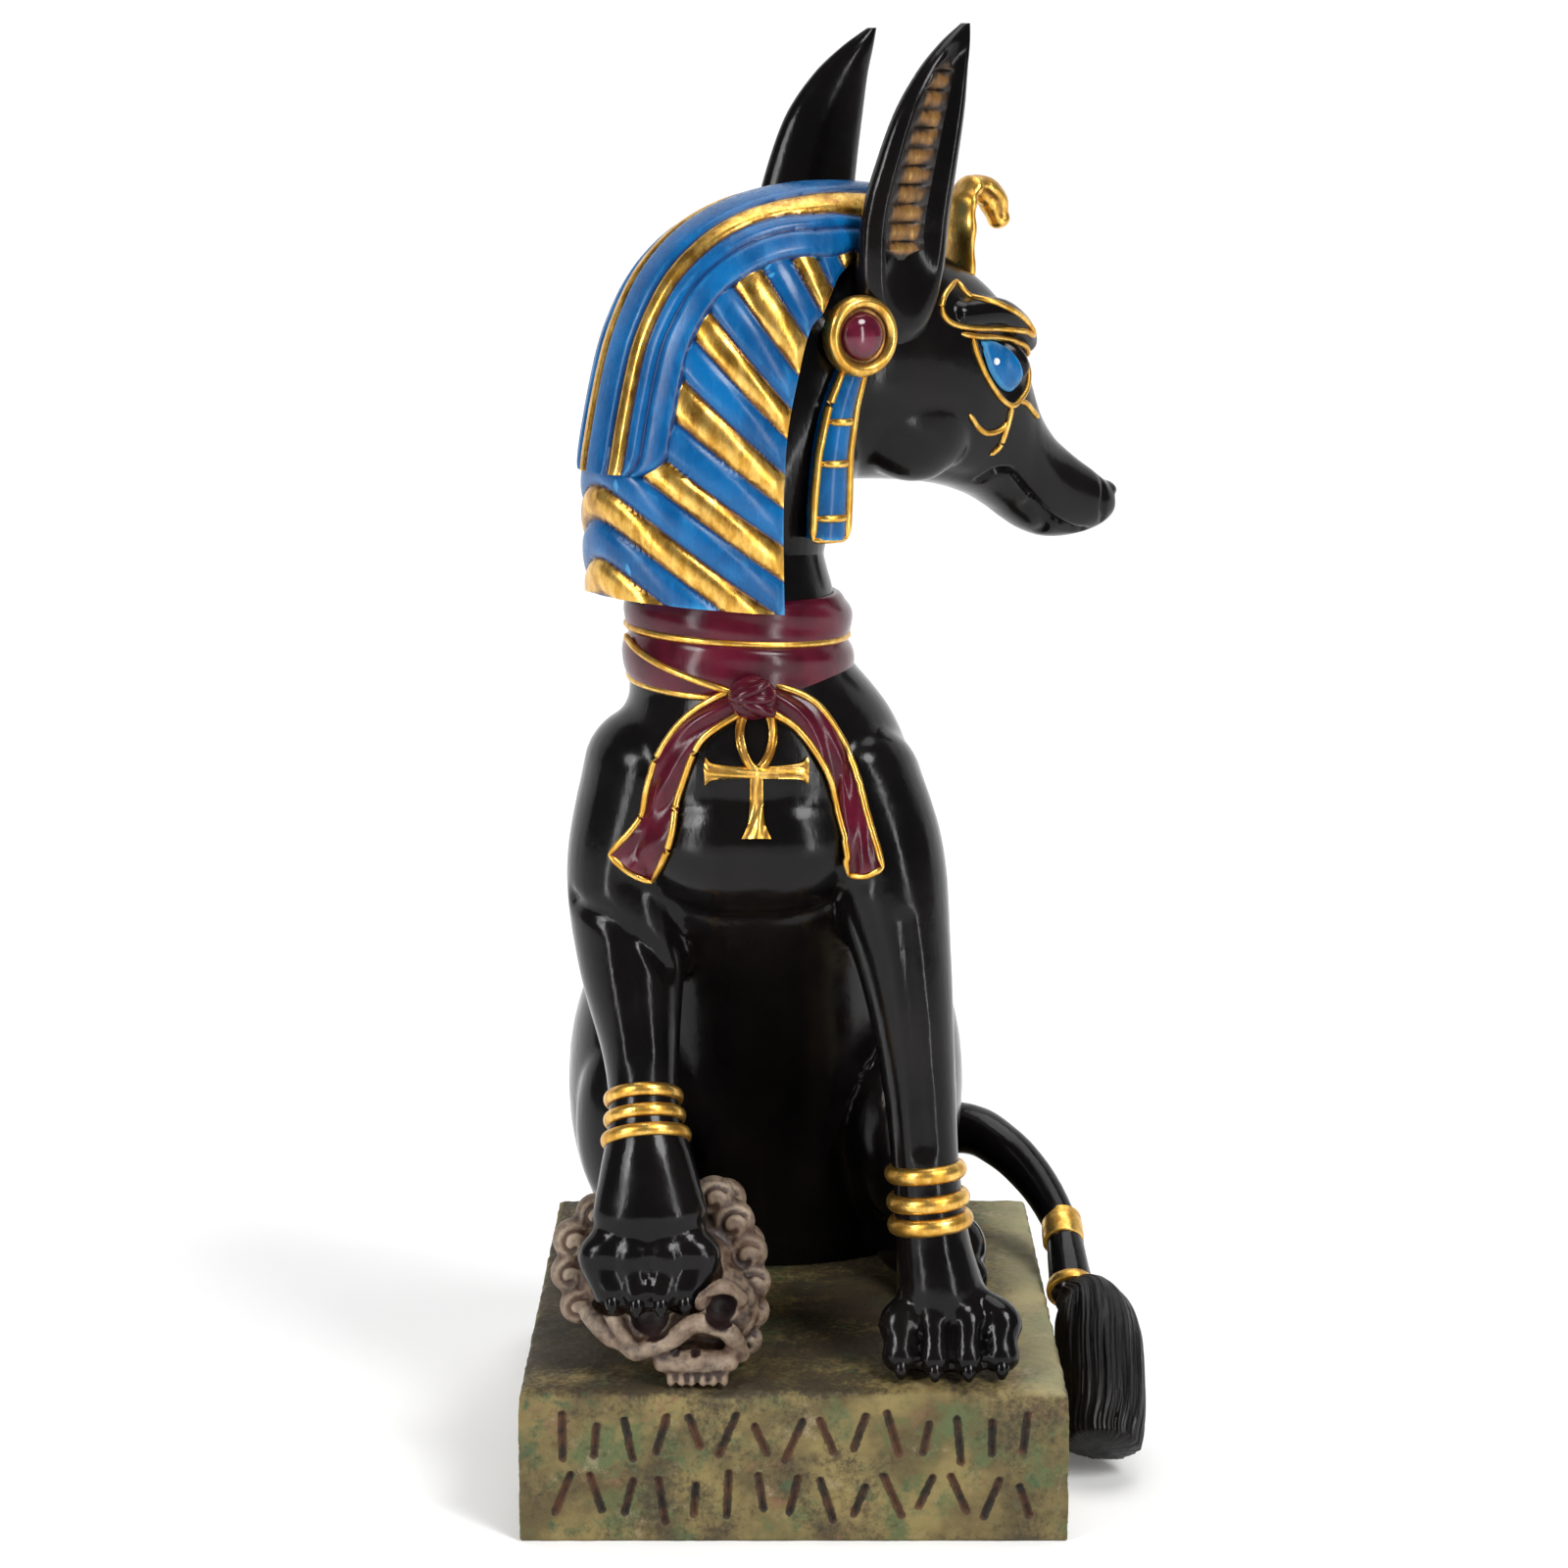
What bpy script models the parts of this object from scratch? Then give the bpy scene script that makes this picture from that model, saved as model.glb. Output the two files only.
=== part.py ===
"""A seated jackal figurine of painted cast resin: the jackal wears a striped headdress, a tied scarf
with an ankh, and three rings on each foreleg. One paw rests on a skull, and its tail hangs off the
side of a stone-look plinth.

Metres, +Z up, the front towards -Y, and the origin at the middle of the plinth's underside.
"""

import math

import bmesh
import bpy
import numpy as np
from mathutils import Euler, Matrix, Vector
from mathutils.bvhtree import BVHTree

# Driving dimensions.
FIGURE_HEIGHT = 0.268  # from the plinth's top to the ear tips
PLINTH_WIDTH = 0.110
PLINTH_DEPTH = 0.1287
PLINTH_HEIGHT = 0.0317
PLINTH_EDGE = 0.0011  # bevel worn into the plinth's edges
REST_GAP = 0.0003  # between two pieces that touch
STROKE_WIDTH = 0.0011  # carved marks on the plinth's front
STROKE_DEPTH = 0.0009
TUFT_CLEARANCE = 0.0075  # from the ground to the tail's brush

# The figure's pose and carving are shares of its height: one unit is 1/268 of it, and z counts from
# the plinth's top.
UNITS = 268.0
U = FIGURE_HEIGHT / UNITS
SIDE = PLINTH_WIDTH / 2 / U  # the plinth's right side, in units
DROP = (PLINTH_HEIGHT - TUFT_CLEARANCE) / U  # from the plinth's top down to the brush's end
GAP = REST_GAP / U

# The head is turned past the jackal's left shoulder. P runs to the muzzle, S to the head's right.
HEAD = Vector((14.0, -4.6, 0.0))
HEAD_TURN = math.radians(30)
P = Vector((math.cos(HEAD_TURN), math.sin(HEAD_TURN), 0.0))
S = Vector((math.sin(HEAD_TURN), -math.cos(HEAD_TURN), 0.0))
UP = Vector((0.0, 0.0, 1.0))

SKIN_VOXEL = 1.25  # units
SKULL_VOXEL = 0.9  # units
SHARP_ANGLE = 38
PAW_ROOM = 1.0  # the skull is hollowed by this much round the paw
STROKE_COUNT = 15  # to a row
BLACK = ((0.012, 0.012, 0.013, 1.0), 0.28)
BONE = ((0.55, 0.47, 0.38, 1.0), 0.55)
STONE = ((0.42, 0.38, 0.24, 1.0), 0.8)


def head(p, s, z):
    """The place of a point given along the muzzle, to the head's right, and up."""
    return HEAD + P * p + S * s + UP * z


def smooth_rows(rows, per_span):
    """Rows on a smooth curve through the given rows, with per_span of them to each span."""
    given = np.array(rows, float)
    padded = np.vstack([2 * given[0] - given[1], given, 2 * given[-1] - given[-2]])
    made = []
    for a, b, c, d in zip(padded, padded[1:], padded[2:], padded[3:]):
        for t in np.arange(per_span) / per_span:
            bend = (2 * a - 5 * b + 4 * c - d) * t * t + (3 * b - a - 3 * c + d) * t**3
            made.append(0.5 * (2 * b + (c - a) * t + bend))
    return np.array(made + [given[-1]])


def add_rings(bm, rings, closed=False):
    """Faces between rings of equally many points. Open ends are closed by a fan."""
    made = [[bm.verts.new(p) for p in ring] for ring in rings]
    count = len(made[0])
    pairs = list(zip(made, made[1:] + made[:1] if closed else made[1:]))
    for lower, upper in pairs:
        for i in range(count):
            j = (i + 1) % count
            bm.faces.new((lower[i], lower[j], upper[j], upper[i]))
    if closed:
        return
    for ring, flip in ((made[0], True), (made[-1], False)):
        middle = bm.verts.new(sum((v.co for v in ring), Vector()) / count)
        for i in range(count):
            a, b = ring[i], ring[(i + 1) % count]
            bm.faces.new((b, a, middle) if flip else (a, b, middle))


def add_limb(
    bm, stations, side=Vector((1, 0, 0)), sides=16, per_span=3, round_ends=(0.9, 0.9), cap_steps=(75, 50, 25)
):
    """A rounded form along stations of (x, y, z, half width, half depth). The width lies along side."""
    rows = smooth_rows(stations, per_span)
    centres = [Vector(r[:3]) for r in rows]
    sizes = [(max(r[3], 0.3), max(r[4], 0.3)) for r in rows]
    tangents = [
        (centres[min(i + 1, len(centres) - 1)] - centres[max(i - 1, 0)]).normalized()
        for i in range(len(centres))
    ]
    before, after = [], []
    for turn in cap_steps:
        a = math.radians(turn)
        for end, sign, share, found in ((0, -1, round_ends[0], before), (-1, 1, round_ends[1], after)):
            if share <= 0:
                continue
            reach = share * min(sizes[end]) * math.sin(a) * sign
            shrunk = tuple(v * math.cos(a) for v in sizes[end])
            found.append((centres[end] + tangents[end] * reach, tangents[end], shrunk))
    body = list(zip(centres, tangents, sizes))
    rings = []
    for centre, along, (half_width, half_depth) in before + body + after[::-1]:
        across = (side - along * side.dot(along)).normalized()
        deep = along.cross(across)
        rings.append(
            [
                centre
                + across * half_width * math.cos(2 * math.pi * k / sides)
                + deep * half_depth * math.sin(2 * math.pi * k / sides)
                for k in range(sides)
            ]
        )
    add_rings(bm, rings)


def add_ball(bm, centre, radii, turn=(0, 0, 0), fine=2):
    """An ellipsoid, turned by degrees about X, Y and Z."""
    spin = Euler([math.radians(a) for a in turn]).to_matrix().to_4x4()
    place = Matrix.Translation(centre) @ spin @ Matrix.Diagonal((*radii, 1.0))
    bmesh.ops.create_icosphere(bm, subdivisions=fine, radius=1.0, matrix=place)


def add_hoop(bm, centre, radii, thickness, tilt=(0, 0, 0), around=24, sides=8):
    """A ring of round section about Z, tilted by degrees, with thickness (out, up)."""
    spin = Euler([math.radians(a) for a in tilt]).to_matrix()
    rings = []
    for i in range(around):
        a = 2 * math.pi * i / around
        out = Vector((math.cos(a), math.sin(a), 0))
        line = Vector((radii[0] * out.x, radii[1] * out.y, 0))
        ring = []
        for k in range(sides):
            b = 2 * math.pi * k / sides
            point = line + out * thickness[0] * math.cos(b) - UP * thickness[1] * math.sin(b)
            ring.append(Vector(centre) + spin @ point)
        rings.append(ring)
    add_rings(bm, rings, closed=True)


def mesh_object(name, bm, finish, lift=True):
    """The bmesh as an object, scaled from units to metres. A figure's mesh also rises onto the plinth."""
    bmesh.ops.recalc_face_normals(bm, faces=bm.faces)
    rise = PLINTH_HEIGHT + REST_GAP if lift else 0.0
    bm.transform(Matrix.Translation((0, 0, rise)) @ Matrix.Scale(U, 4))
    mesh = bpy.data.meshes.new(name)
    bm.to_mesh(mesh)
    bm.free()
    obj = bpy.data.objects.new(name, mesh)
    bpy.context.scene.collection.objects.link(obj)
    mesh.materials.append(finish)
    return obj


def material(name, look):
    colour, roughness = look
    made = bpy.data.materials.new(name)
    made.use_nodes = True
    shader = made.node_tree.nodes["Principled BSDF"]
    shader.inputs["Base Color"].default_value = colour
    shader.inputs["Roughness"].default_value = roughness
    shader.inputs["Metallic"].default_value = 0.0
    return made


def helper(obj, collection):
    """Keeps an object as an operand only, inside a collection of operands."""
    bpy.context.scene.collection.objects.unlink(obj)
    collection.objects.link(obj)
    obj.hide_render = True
    obj.display_type = "WIRE"
    return obj


def operands(name):
    made = bpy.data.collections.new(name)
    bpy.context.scene.collection.children.link(made)
    return made


def boolean(obj, operation, collection):
    cut = obj.modifiers.new(collection.name, "BOOLEAN")
    cut.operation = operation
    cut.operand_type = "COLLECTION"
    cut.collection = collection
    cut.solver = "EXACT"


def thin_out(obj, keep):
    """Merges the faces that add least to the form, down to that share of them."""
    thin = obj.modifiers.new("Thin", "DECIMATE")
    thin.ratio = keep


def skin(obj, voxel, smoothing, keep):
    """Grows one skin over the overlapping masses, softens the joins and thins out the mesh."""
    remesh = obj.modifiers.new("Skin", "REMESH")
    remesh.mode = "VOXEL"
    remesh.voxel_size = voxel * U
    soften = obj.modifiers.new("Soften", "SMOOTH")
    soften.factor = 0.5
    soften.iterations = smoothing
    if keep < 1:
        thin_out(obj, keep)


# Body masses: stations of (x, y, z, half width, half depth).
TORSO = [
    (-6, 34, 4, 31, 21),
    (-6, 30, 26, 33, 26),
    (-6.5, 17, 56, 32, 29),
    (-7.5, 0, 84, 32.5, 28),
    (-8, -14, 106, 34, 30),
    (-8.5, -19, 122, 32, 28.5),
    (-10.5, -19, 138, 25, 24.5),
]
BREAST = ((-8, -32, 106), (25, 18.5, 17))  # centre, radii
NECK = [
    (-11, -19, 130, 21.5, 22),
    (-11.5, -19, 151, 20.2, 21.0),
    (-11.5, -18.5, 162, 17.6, 18.7),
    (-8, -16.5, 177, 17.8, 18.5),
    (-1, -12.5, 190, 18, 19),
    (2.5, -11, 202, 17.5, 18),
]
LEFT_FORELEG = [
    (13, -24, 118, 15, 20),
    (18, -31, 100, 13, 17),
    (22.5, -37, 80, 9.6, 12.5),
    (25.3, -41, 58, 7.6, 9.6),
    (26.7, -44, 40, 6.9, 8.2),
    (28.2, -46, 25, 7.6, 8.6),
    (29.8, -47.5, 15, 9.0, 9.6),
    (31.0, -48.5, 8, 11.5, 8.5),
]
RIGHT_FORELEG = [
    (-28, -22, 118, 15, 19),
    (-33, -24, 98, 13.6, 17),
    (-33, -30, 80, 11.2, 13),
    (-31, -38, 63, 8, 9.8),
    (-30.2, -44, 52, 7.2, 8),
    (-29.3, -49.5, 42, 9.6, 8.4),
    (-28.8, -54, 33, 12.2, 9.0),
]
TAIL_HUNG = [  # (y, share of the drop, radius) down the plinth's side
    (15, -0.30, 4.0),
    (7, -0.13, 4.5),
    (0, 0.04, 4.9),
]
BRUSH_HUNG = [
    (-2, 0.05, 4.8),
    (-6, 0.14, 7.4),
    (-13, 0.34, 9.2),
    (-21, 0.60, 9.6),
    (-27, 0.82, 9.4),
    (-31, 1.0, 8.8),
]


def hung(rows):
    """Stations that lie against the plinth's right side, from (y, share of the drop, radius)."""
    return [(SIDE + GAP * 2 + r, y, -share * DROP, r, r) for y, share, r in rows]


def tail_stations():
    over_edge = [
        (6, 50, 12, 8, 8),
        (24, 52, 19, 6.8, 6.8),
        (39.4, 44, 22.5, 5.9, 5.9),
        (47.5, 36, 20.5, 5.3, 5.3),
        (SIDE - 1.6, 29, 16.2, 4.8, 4.8),
        (SIDE + 2.4, 22, 11.5, 4.3, 4.3),
    ]
    return over_edge + hung(TAIL_HUNG)


THIGH = ((28, 22, 40), (15.5, 27, 35), (12, 0, 0))  # out from the seat's middle, radii, turn
SHANK = ((29, 4, 36), (12, 15, 22), (0, 0, 0))
SEAT_MIDDLE = -6.0
HEEL = (31, 26, 5, 8, 7)
ARCH = (32, 10, 6.5, 7.8, 7.5)
HIND_FEET = (-39.0, 33.5)  # where the front of each hind foot is


def add_haunches(bm):
    """Each folded hind leg: the thigh, the shank against it, and the long foot."""
    for sign, foot in zip((-1, 1), HIND_FEET):
        for (out, y, z), radii, turn in (THIGH, SHANK):
            add_ball(bm, (SEAT_MIDDLE + sign * out, y, z), radii, turn, 3)
        rows = [(SEAT_MIDDLE + sign * out, y, z, w, d) for out, y, z, w, d in (HEEL, ARCH)]
        add_limb(bm, rows + [(foot, -2, 8.5, 8.8, 8.8)])


HEAD_PROFILE = [  # place along the muzzle, top, underside, half width
    (-25, 208, 192, 6),
    (-23, 214, 186, 11),
    (-18, 221, 180, 16),
    (-8, 226, 176.5, 20),
    (5, 226, 175.5, 20.5),
    (17, 221.5, 174, 18.5),
    (26, 216.5, 171.4, 15.5),
    (32, 210.5, 168.2, 13),
    (36, 201.5, 165.4, 11),
    (40, 191.3, 163, 9.6),
    (45, 184, 161.3, 8.4),
    (51, 179, 161.2, 7.4),
    (57, 175, 162.3, 6.4),
    (61, 171.8, 164.3, 4.6),
    (62.6, 169.6, 166.6, 2.0),
]
BROW = [  # forward, outward, z, half width, half height
    (13, 16.2, 209.5, 3.2, 3.0),
    (23, 14.4, 209.8, 3.8, 3.2),
    (30.2, 11.0, 206.8, 3.8, 3.2),
    (34.6, 7.6, 203.6, 3.2, 3.0),
]
EYE_FORWARD = 25.6
EYE_RISE = 0.62  # share of the head's height there
EYE_RADII = (6.4, 3.6, 4.8)
CHEEK = ((5, 11.0, 189), (13, 10, 12))  # forward, outward and up, radii
EAR_TURN = math.radians(8)  # the openings face a little forward
EAR = [  # z, forward and outward place, half length, half thickness
    (209, -3.2, 17.5, 8.5, 6.6),
    (219, -2.8, 19.2, 10.4, 6.4),
    (230, -1.9, 20.0, 10.6, 6.0),
    (240, 0.3, 20.5, 9.8, 5.4),
    (250, 3.2, 20.5, 8.4, 4.7),
    (258, 6.6, 19.8, 6.0, 3.6),
    (263.5, 10.0, 18.8, 3.5, 2.4),
    (267.4, 13.0, 17.9, 1.0, 0.9),
]


def head_rings(sides, per_span):
    """Upright sections from the back of the head to the nose, flatter on the sides than an oval."""
    rings = []
    for p, top, under, half in smooth_rows(HEAD_PROFILE, per_span):
        ring = []
        for k in range(sides):
            a = 2 * math.pi * k / sides
            across = math.copysign(abs(math.cos(a)) ** 0.85, math.cos(a))
            ring.append(head(p, half * across, (top + under) / 2 + (top - under) / 2 * math.sin(a)))
        rings.append(ring)
    return rings


def eye_place(sign):
    """The middle of an eyeball, sunk into the side of the head."""
    rows = np.array(HEAD_PROFILE)
    top, under, half = (np.interp(EYE_FORWARD, rows[:, 0], rows[:, k]) for k in (1, 2, 3))
    return head(EYE_FORWARD, sign * (half - 0.8 * EYE_RADII[1]), under + EYE_RISE * (top - under))


def add_face(bm):
    """The head and muzzle, cheeks, brows and eyeballs."""
    add_rings(bm, head_rings(20, 2))
    for sign in (-1, 1):
        (p, s, z), radii = CHEEK
        add_ball(bm, head(p, sign * s, z), radii, (0, 20, 30), 3)
        add_limb(bm, [(*head(p, sign * s, z), w, h) for p, s, z, w, h in BROW], side=S)
        add_ball(bm, eye_place(sign), EYE_RADII, (0, 20, 30 - sign * 18), 3)


def ear_rings(sign, sides, per_span):
    """A horn-like ear, hollowed on its outer face."""
    rows = smooth_rows(EAR, per_span)
    lowest, highest = rows[0][0], rows[-1][0]
    length_way = P * math.cos(EAR_TURN) - S * sign * math.sin(EAR_TURN)
    outward = S * sign * math.cos(EAR_TURN) + P * math.sin(EAR_TURN)
    rings = []
    for z, p, s, half_length, half_thick in rows:
        rise = (z - lowest) / (highest - lowest)
        hollow = 0.85 * min(1, max(0, (rise - 0.16) / 0.12)) * min(1, (1 - rise) / 0.12)
        ring = []
        for k in range(sides):
            a = 2 * math.pi * k / sides
            along, out = math.cos(a), math.sin(a)
            if out > 0:
                scoop = max(0.0, 1 - (along / 0.72) ** 2)
                out = out * (1 - 0.25 * hollow) - hollow * scoop
            ring.append(head(p, sign * s, z) + length_way * half_length * along + outward * half_thick * out)
        rings.append(ring)
    return rings


# The headdress is swept by planes that fan over the crown and then slide down the neck. Each row:
# fan angle (degrees from the muzzle, over the top), drop below the fan's axis, then the distances
# from the axis to the front edge and to the middle line, and the half width.
FAN_AXIS = (-14.0, 205.0)
FAN = [
    (38, 0, 24.0, 37.5, 12.0),
    (56, 0, 21.0, 34.2, 13.0),
    (78, 0, 16.5, 30.4, 15.5),
    (100, 0, 13.5, 29.4, 18.5),
    (122, 0, 11.5, 31.0, 21.5),
    (146, 0, 11.0, 34.8, 23.5),
    (166, 0, 13.0, 38.6, 24.6),
    (178, 4, 15.0, 42.6, 25.0),
    (179, 16, 17.8, 45.6, 25.0),
    (178, 28, 18.8, 47.4, 25.0),
    (176, 41, 19.0, 47.4, 25.0),
    (174, 54.5, 18.8, 47.0, 25.0),
]
CREST_HALF = 15.0
CREST_RISE = 1.9
CREST_END = 26.5  # drop below the fan's axis


def crest_lift(share, drop):
    """How far the raised crest stands proud: share is 0 on its middle line and 1 on its edge."""
    if share > 1 or drop > CREST_END:
        return 0.0
    return CREST_RISE * (1 - 0.25 * share**4)


def headdress_rows(per_span):
    """Planes of the headdress, with a pair of them at the crest's lower end."""
    rows = smooth_rows(FAN, per_span)
    step = 0.25
    for drop in (CREST_END - step, CREST_END + step):
        place = int(np.searchsorted(rows[:, 1], drop))
        share = (drop - rows[place - 1][1]) / (rows[place][1] - rows[place - 1][1])
        rows = np.insert(rows, place, rows[place - 1] * (1 - share) + rows[place] * share, axis=0)
    return rows


def headdress_rings(per_span, side_steps, crest_steps):
    """Rings over the crown and down the neck, with a raised lengthwise crest."""
    rings = []
    for turn, drop, edge, ridge, half in headdress_rows(per_span):
        a = math.radians(min(turn, 180.0))
        axis = Vector((FAN_AXIS[0], FAN_AXIS[1] - drop))
        out = Vector((math.cos(a), math.sin(a)))
        crest_angle = math.asin(min(CREST_HALF / half, 0.96))
        sides = [(-1 + k / side_steps, 2.0) for k in range(side_steps)]
        spots = [(-math.pi / 2 + (math.pi / 2 - crest_angle) * (1 + share), k) for share, k in sides]
        spots.append((-crest_angle * 1.012, 2.0))
        crest = [(-1 + 2 * k / crest_steps) for k in range(crest_steps + 1)]
        spots += [(crest_angle * share, abs(share)) for share in crest]
        spots += [(-angle, k) for angle, k in reversed(spots[: side_steps + 1])]
        ring = []
        for angle, share in spots:
            lift = crest_lift(share, drop)
            reach = edge + (ridge - edge) * math.cos(angle)
            normal = Vector((math.cos(angle) / (ridge - edge), math.sin(angle) / half)).normalized()
            point = axis + out * (reach + lift * normal.x)
            ring.append(head(point.x, half * math.sin(angle) + lift * normal.y, point.y))
        for share in (0.5, 0.0, -0.5):
            point = axis + out * edge
            ring.append(head(point.x, half * share, point.y))
        rings.append(ring)
    return rings


def chest_front(tree, x, z):
    """Where the chest's front lies at that x and z."""
    found = tree.ray_cast(Vector((x, -150, z)), Vector((0, 1, 0)))
    return found[0], found[1]


def add_band(bm, tree, points, rise, sink=1.6, per_span=3):
    """A flat band laid on the chest through (x, z, half width)."""
    rows = smooth_rows(points, per_span)
    rings = []
    for i, (x, z, half) in enumerate(rows):
        ahead, behind = rows[min(i + 1, len(rows) - 1)], rows[max(i - 1, 0)]
        along = Vector((ahead[0] - behind[0], 0, ahead[1] - behind[1])).normalized()
        across = Vector((-along.z, 0, along.x))
        spots = []
        for share in (-1, 0, 1):
            spot = Vector((x, 0, z)) + across * half * share
            spots.append(chest_front(tree, spot.x, spot.z))
        outer = [spot + normal * rise * k for (spot, normal), k in zip(spots, (0.75, 1, 0.75))]
        inner = [spot - normal * sink for spot, normal in reversed(spots)]
        rings.append(outer + inner)
    add_rings(bm, rings)


def ankh_strokes():
    """The ankh's strokes as (x, z, half width): the loop, the bar and the stem."""
    x, bar = -6.6, 121.8
    loop = []
    for k in range(13):
        a = 2 * math.pi * (k + 0.5) / 13
        pinch = 0.55 + 0.45 * math.sin(min(a, 2 * math.pi - a) / 2)
        loop.append((x + 4.0 * pinch * math.sin(a), bar + 6.6 - 6.0 * math.cos(a), 1.1))
    arms = [
        (x - 10, bar, 2.8),
        (x - 8, bar, 1.4),
        (x, bar, 1.2),
        (x + 8, bar, 1.4),
        (x + 10, bar, 2.8),
    ]
    stem = [(x, bar + 1, 1.3), (x, bar - 5, 1.3), (x, bar - 10, 1.8), (x, bar - 13, 3.0)]
    return loop, arms, stem


def toes(foot_x, foot_y, foot_z, spread, reach, drop, size):
    """Stations for each of the four curled toes in a row."""
    made = []
    for k in range(4):
        share = (k - 1.5) / 1.5
        x = foot_x + spread * share
        back = 2.2 * abs(share)
        stations = [
            (foot_x + 0.55 * spread * share, foot_y + 0.35 * reach, foot_z + 0.35 * drop, size, size),
            (x, foot_y - 0.35 * reach + back, foot_z, size * 1.05, size * 1.1),
            (x, foot_y - 0.85 * reach + back, foot_z - 0.62 * drop, size * 0.9, size * 0.9),
        ]
        made.append(stations)
    return made


LEFT_TOES = dict(foot_x=31.6, foot_y=-52, foot_z=9.5, spread=9.6, reach=7.0, drop=9.0, size=4.5)
RIGHT_TOES = dict(foot_x=-28.6, foot_y=-57.5, foot_z=26.5, spread=9.4, reach=3.6, drop=11.0, size=4.6)
EAR_DISC = (-13.4, 21.5, 207.8)  # in the head's frame
DISC_RADII = (8.0, 8.0, 4.2)
GEM_RADII = (4.9, 4.9, 3.4)
GEM_RISE = 1.4
LAPPET = [  # from the disc: forward, outward, up, half width
    (-0.4, -3.0, -7, 2.6),
    (-3.6, -2.6, -15, 3.3),
    (-5.6, -2.3, -24, 3.7),
    (-6.2, -2.3, -33, 4.1),
    (-6.5, -2.4, -41.5, 4.1),
]
COBRA = [  # forward, z, half width, half thickness
    (21.6, 207, 5.4, 2.6),
    (23.0, 216, 5.9, 2.1),
    (23.2, 226, 6.2, 1.9),
    (24.0, 232.6, 5.4, 2.0),
    (27.4, 235.6, 3.6, 2.2),
    (31.6, 234.0, 3.2, 2.2),
    (34.0, 229.8, 2.4, 1.8),
]
SCARF_WRAPS = [  # name, place, radii, thickness out and up, tilt
    ("scarf_upper", (-11.3, -19.2, 150.0), (20.0, 20.8), (3.2, 5.0), (0, 3, 0)),
    ("scarf_lower", (-11.3, -19.6, 141.4), (20.2, 21.6), (3.4, 5.8), (2, 3, 0)),
]
KNOT = ((-8.2, -46.4, 136.6), (4.8, 4.2, 4.4))
SCARF_ENDS = [
    (
        "scarf_end_left",
        [(-10, 136, 2.4), (-17, 129.5, 2.7), (-22.4, 118.4, 3.2), (-24.4, 110, 3.7), (-31.2, 101.5, 5.2)],
    ),
    (
        "scarf_end_right",
        [(-5.5, 136.5, 2.4), (4.8, 131.4, 2.7), (11, 121.6, 2.8), (13.8, 111, 2.9), (15.2, 101.8, 3.4)],
    ),
]
SKULL_MASSES = [  # centre, radii, turn
    ((-26.5, -41, 17), (19, 18, 15), (0, 0, 0)),
    ((-19, -56, 8), (10.5, 7.5, 8), (0, 12, 0)),
    ((-18.5, -60.5, 4.0), (7.2, 4.6, 4.6), (0, 6, 0)),
    ((-10.5, -47, 24), (4.6, 5, 4.6), (0, 0, 0)),
    ((-8.6, -46, 17), (3.8, 5, 4.4), (0, 0, 0)),
    ((-13.5, -42, 29), (5, 5, 4.2), (0, 0, 0)),
    ((-9, -44, 10), (3.8, 5, 4.2), (0, 0, 0)),
    ((-44.5, -45, 15), (3.6, 5, 4.4), (0, 0, 0)),
    ((-43.5, -43, 23), (4, 5, 4.6), (0, 0, 0)),
    ((-38, -42, 28), (4.4, 5, 4), (0, 0, 0)),
]
SKULL_RIDGES = [
    [(-45, -50, 16, 2.4, 2.4), (-39, -56, 10, 2.6, 2.6), (-32, -60.5, 6.6, 2.4, 2.6)],
    [
        (-32, -60, 7, 2.2, 2.4),
        (-25, -62, 8, 2.0, 2.2),
        (-19, -62, 12.4, 2.2, 2.2),
        (-12.5, -60.5, 10, 2.2, 2.2),
        (-10.5, -57, 4, 2, 2),
    ],
]
SKULL_HOLLOWS = [
    ((-12.8, -62, 17.5), (4.6, 5.5, 4.4), (0, 0, 0)),
    ((-28.3, -62.5, 14.2), (4.8, 5.5, 4.6), (0, 0, 0)),
    ((-19.2, -64.5, 8.6), (1.9, 3.6, 2.4), (0, 0, 0)),
    ((-36.5, -60.5, 5.4), (4, 3.4, 2.6), (0, 35, 0)),
]


WRISTS = [  # name, middle, tilt in degrees, radii, spacing of the three rings
    ("left", (27.3, -44.8, 34.0), (-8, -5, 0), (7.3, 8.5), 5.2),
    ("right", (-30.2, -44.6, 51.2), (-26, -3, 0), (7.4, 8.2), 4.6),
]
RING_RISE = 1.2  # a ring stands this far proud of the wrist


def add_cuff(bm, middle, tilt, radii, spacing, sides=14):
    """Three rounded rings round a wrist, with the waist between them sunk below its surface."""
    spin = Euler([math.radians(a) for a in tilt]).to_matrix()
    rings = []
    for k in range(10):
        rise = RING_RISE if k % 3 else -1.8 * RING_RISE
        place = (k // 3 + (0, 0.27, 0.73)[k % 3] - 1.5) * spacing
        ring = []
        for i in range(sides):
            a = 2 * math.pi * i / sides
            point = Vector(((radii[0] + rise) * math.cos(a), (radii[1] + rise) * math.sin(a), place))
            ring.append(Vector(middle) + spin @ point)
        rings.append(ring)
    add_rings(bm, rings)


def tail_bands():
    """The two bands above the tail's brush."""
    made = []
    for x, y, z, r, _ in (hung(TAIL_HUNG)[0], hung(TAIL_HUNG)[2]):
        made.append([(x, y + 3.4, z + 1.8, r + 0.3, r + 0.3), (x, y - 2.6, z - 1.6, r + 0.5, r + 0.5)])
    return made


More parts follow.
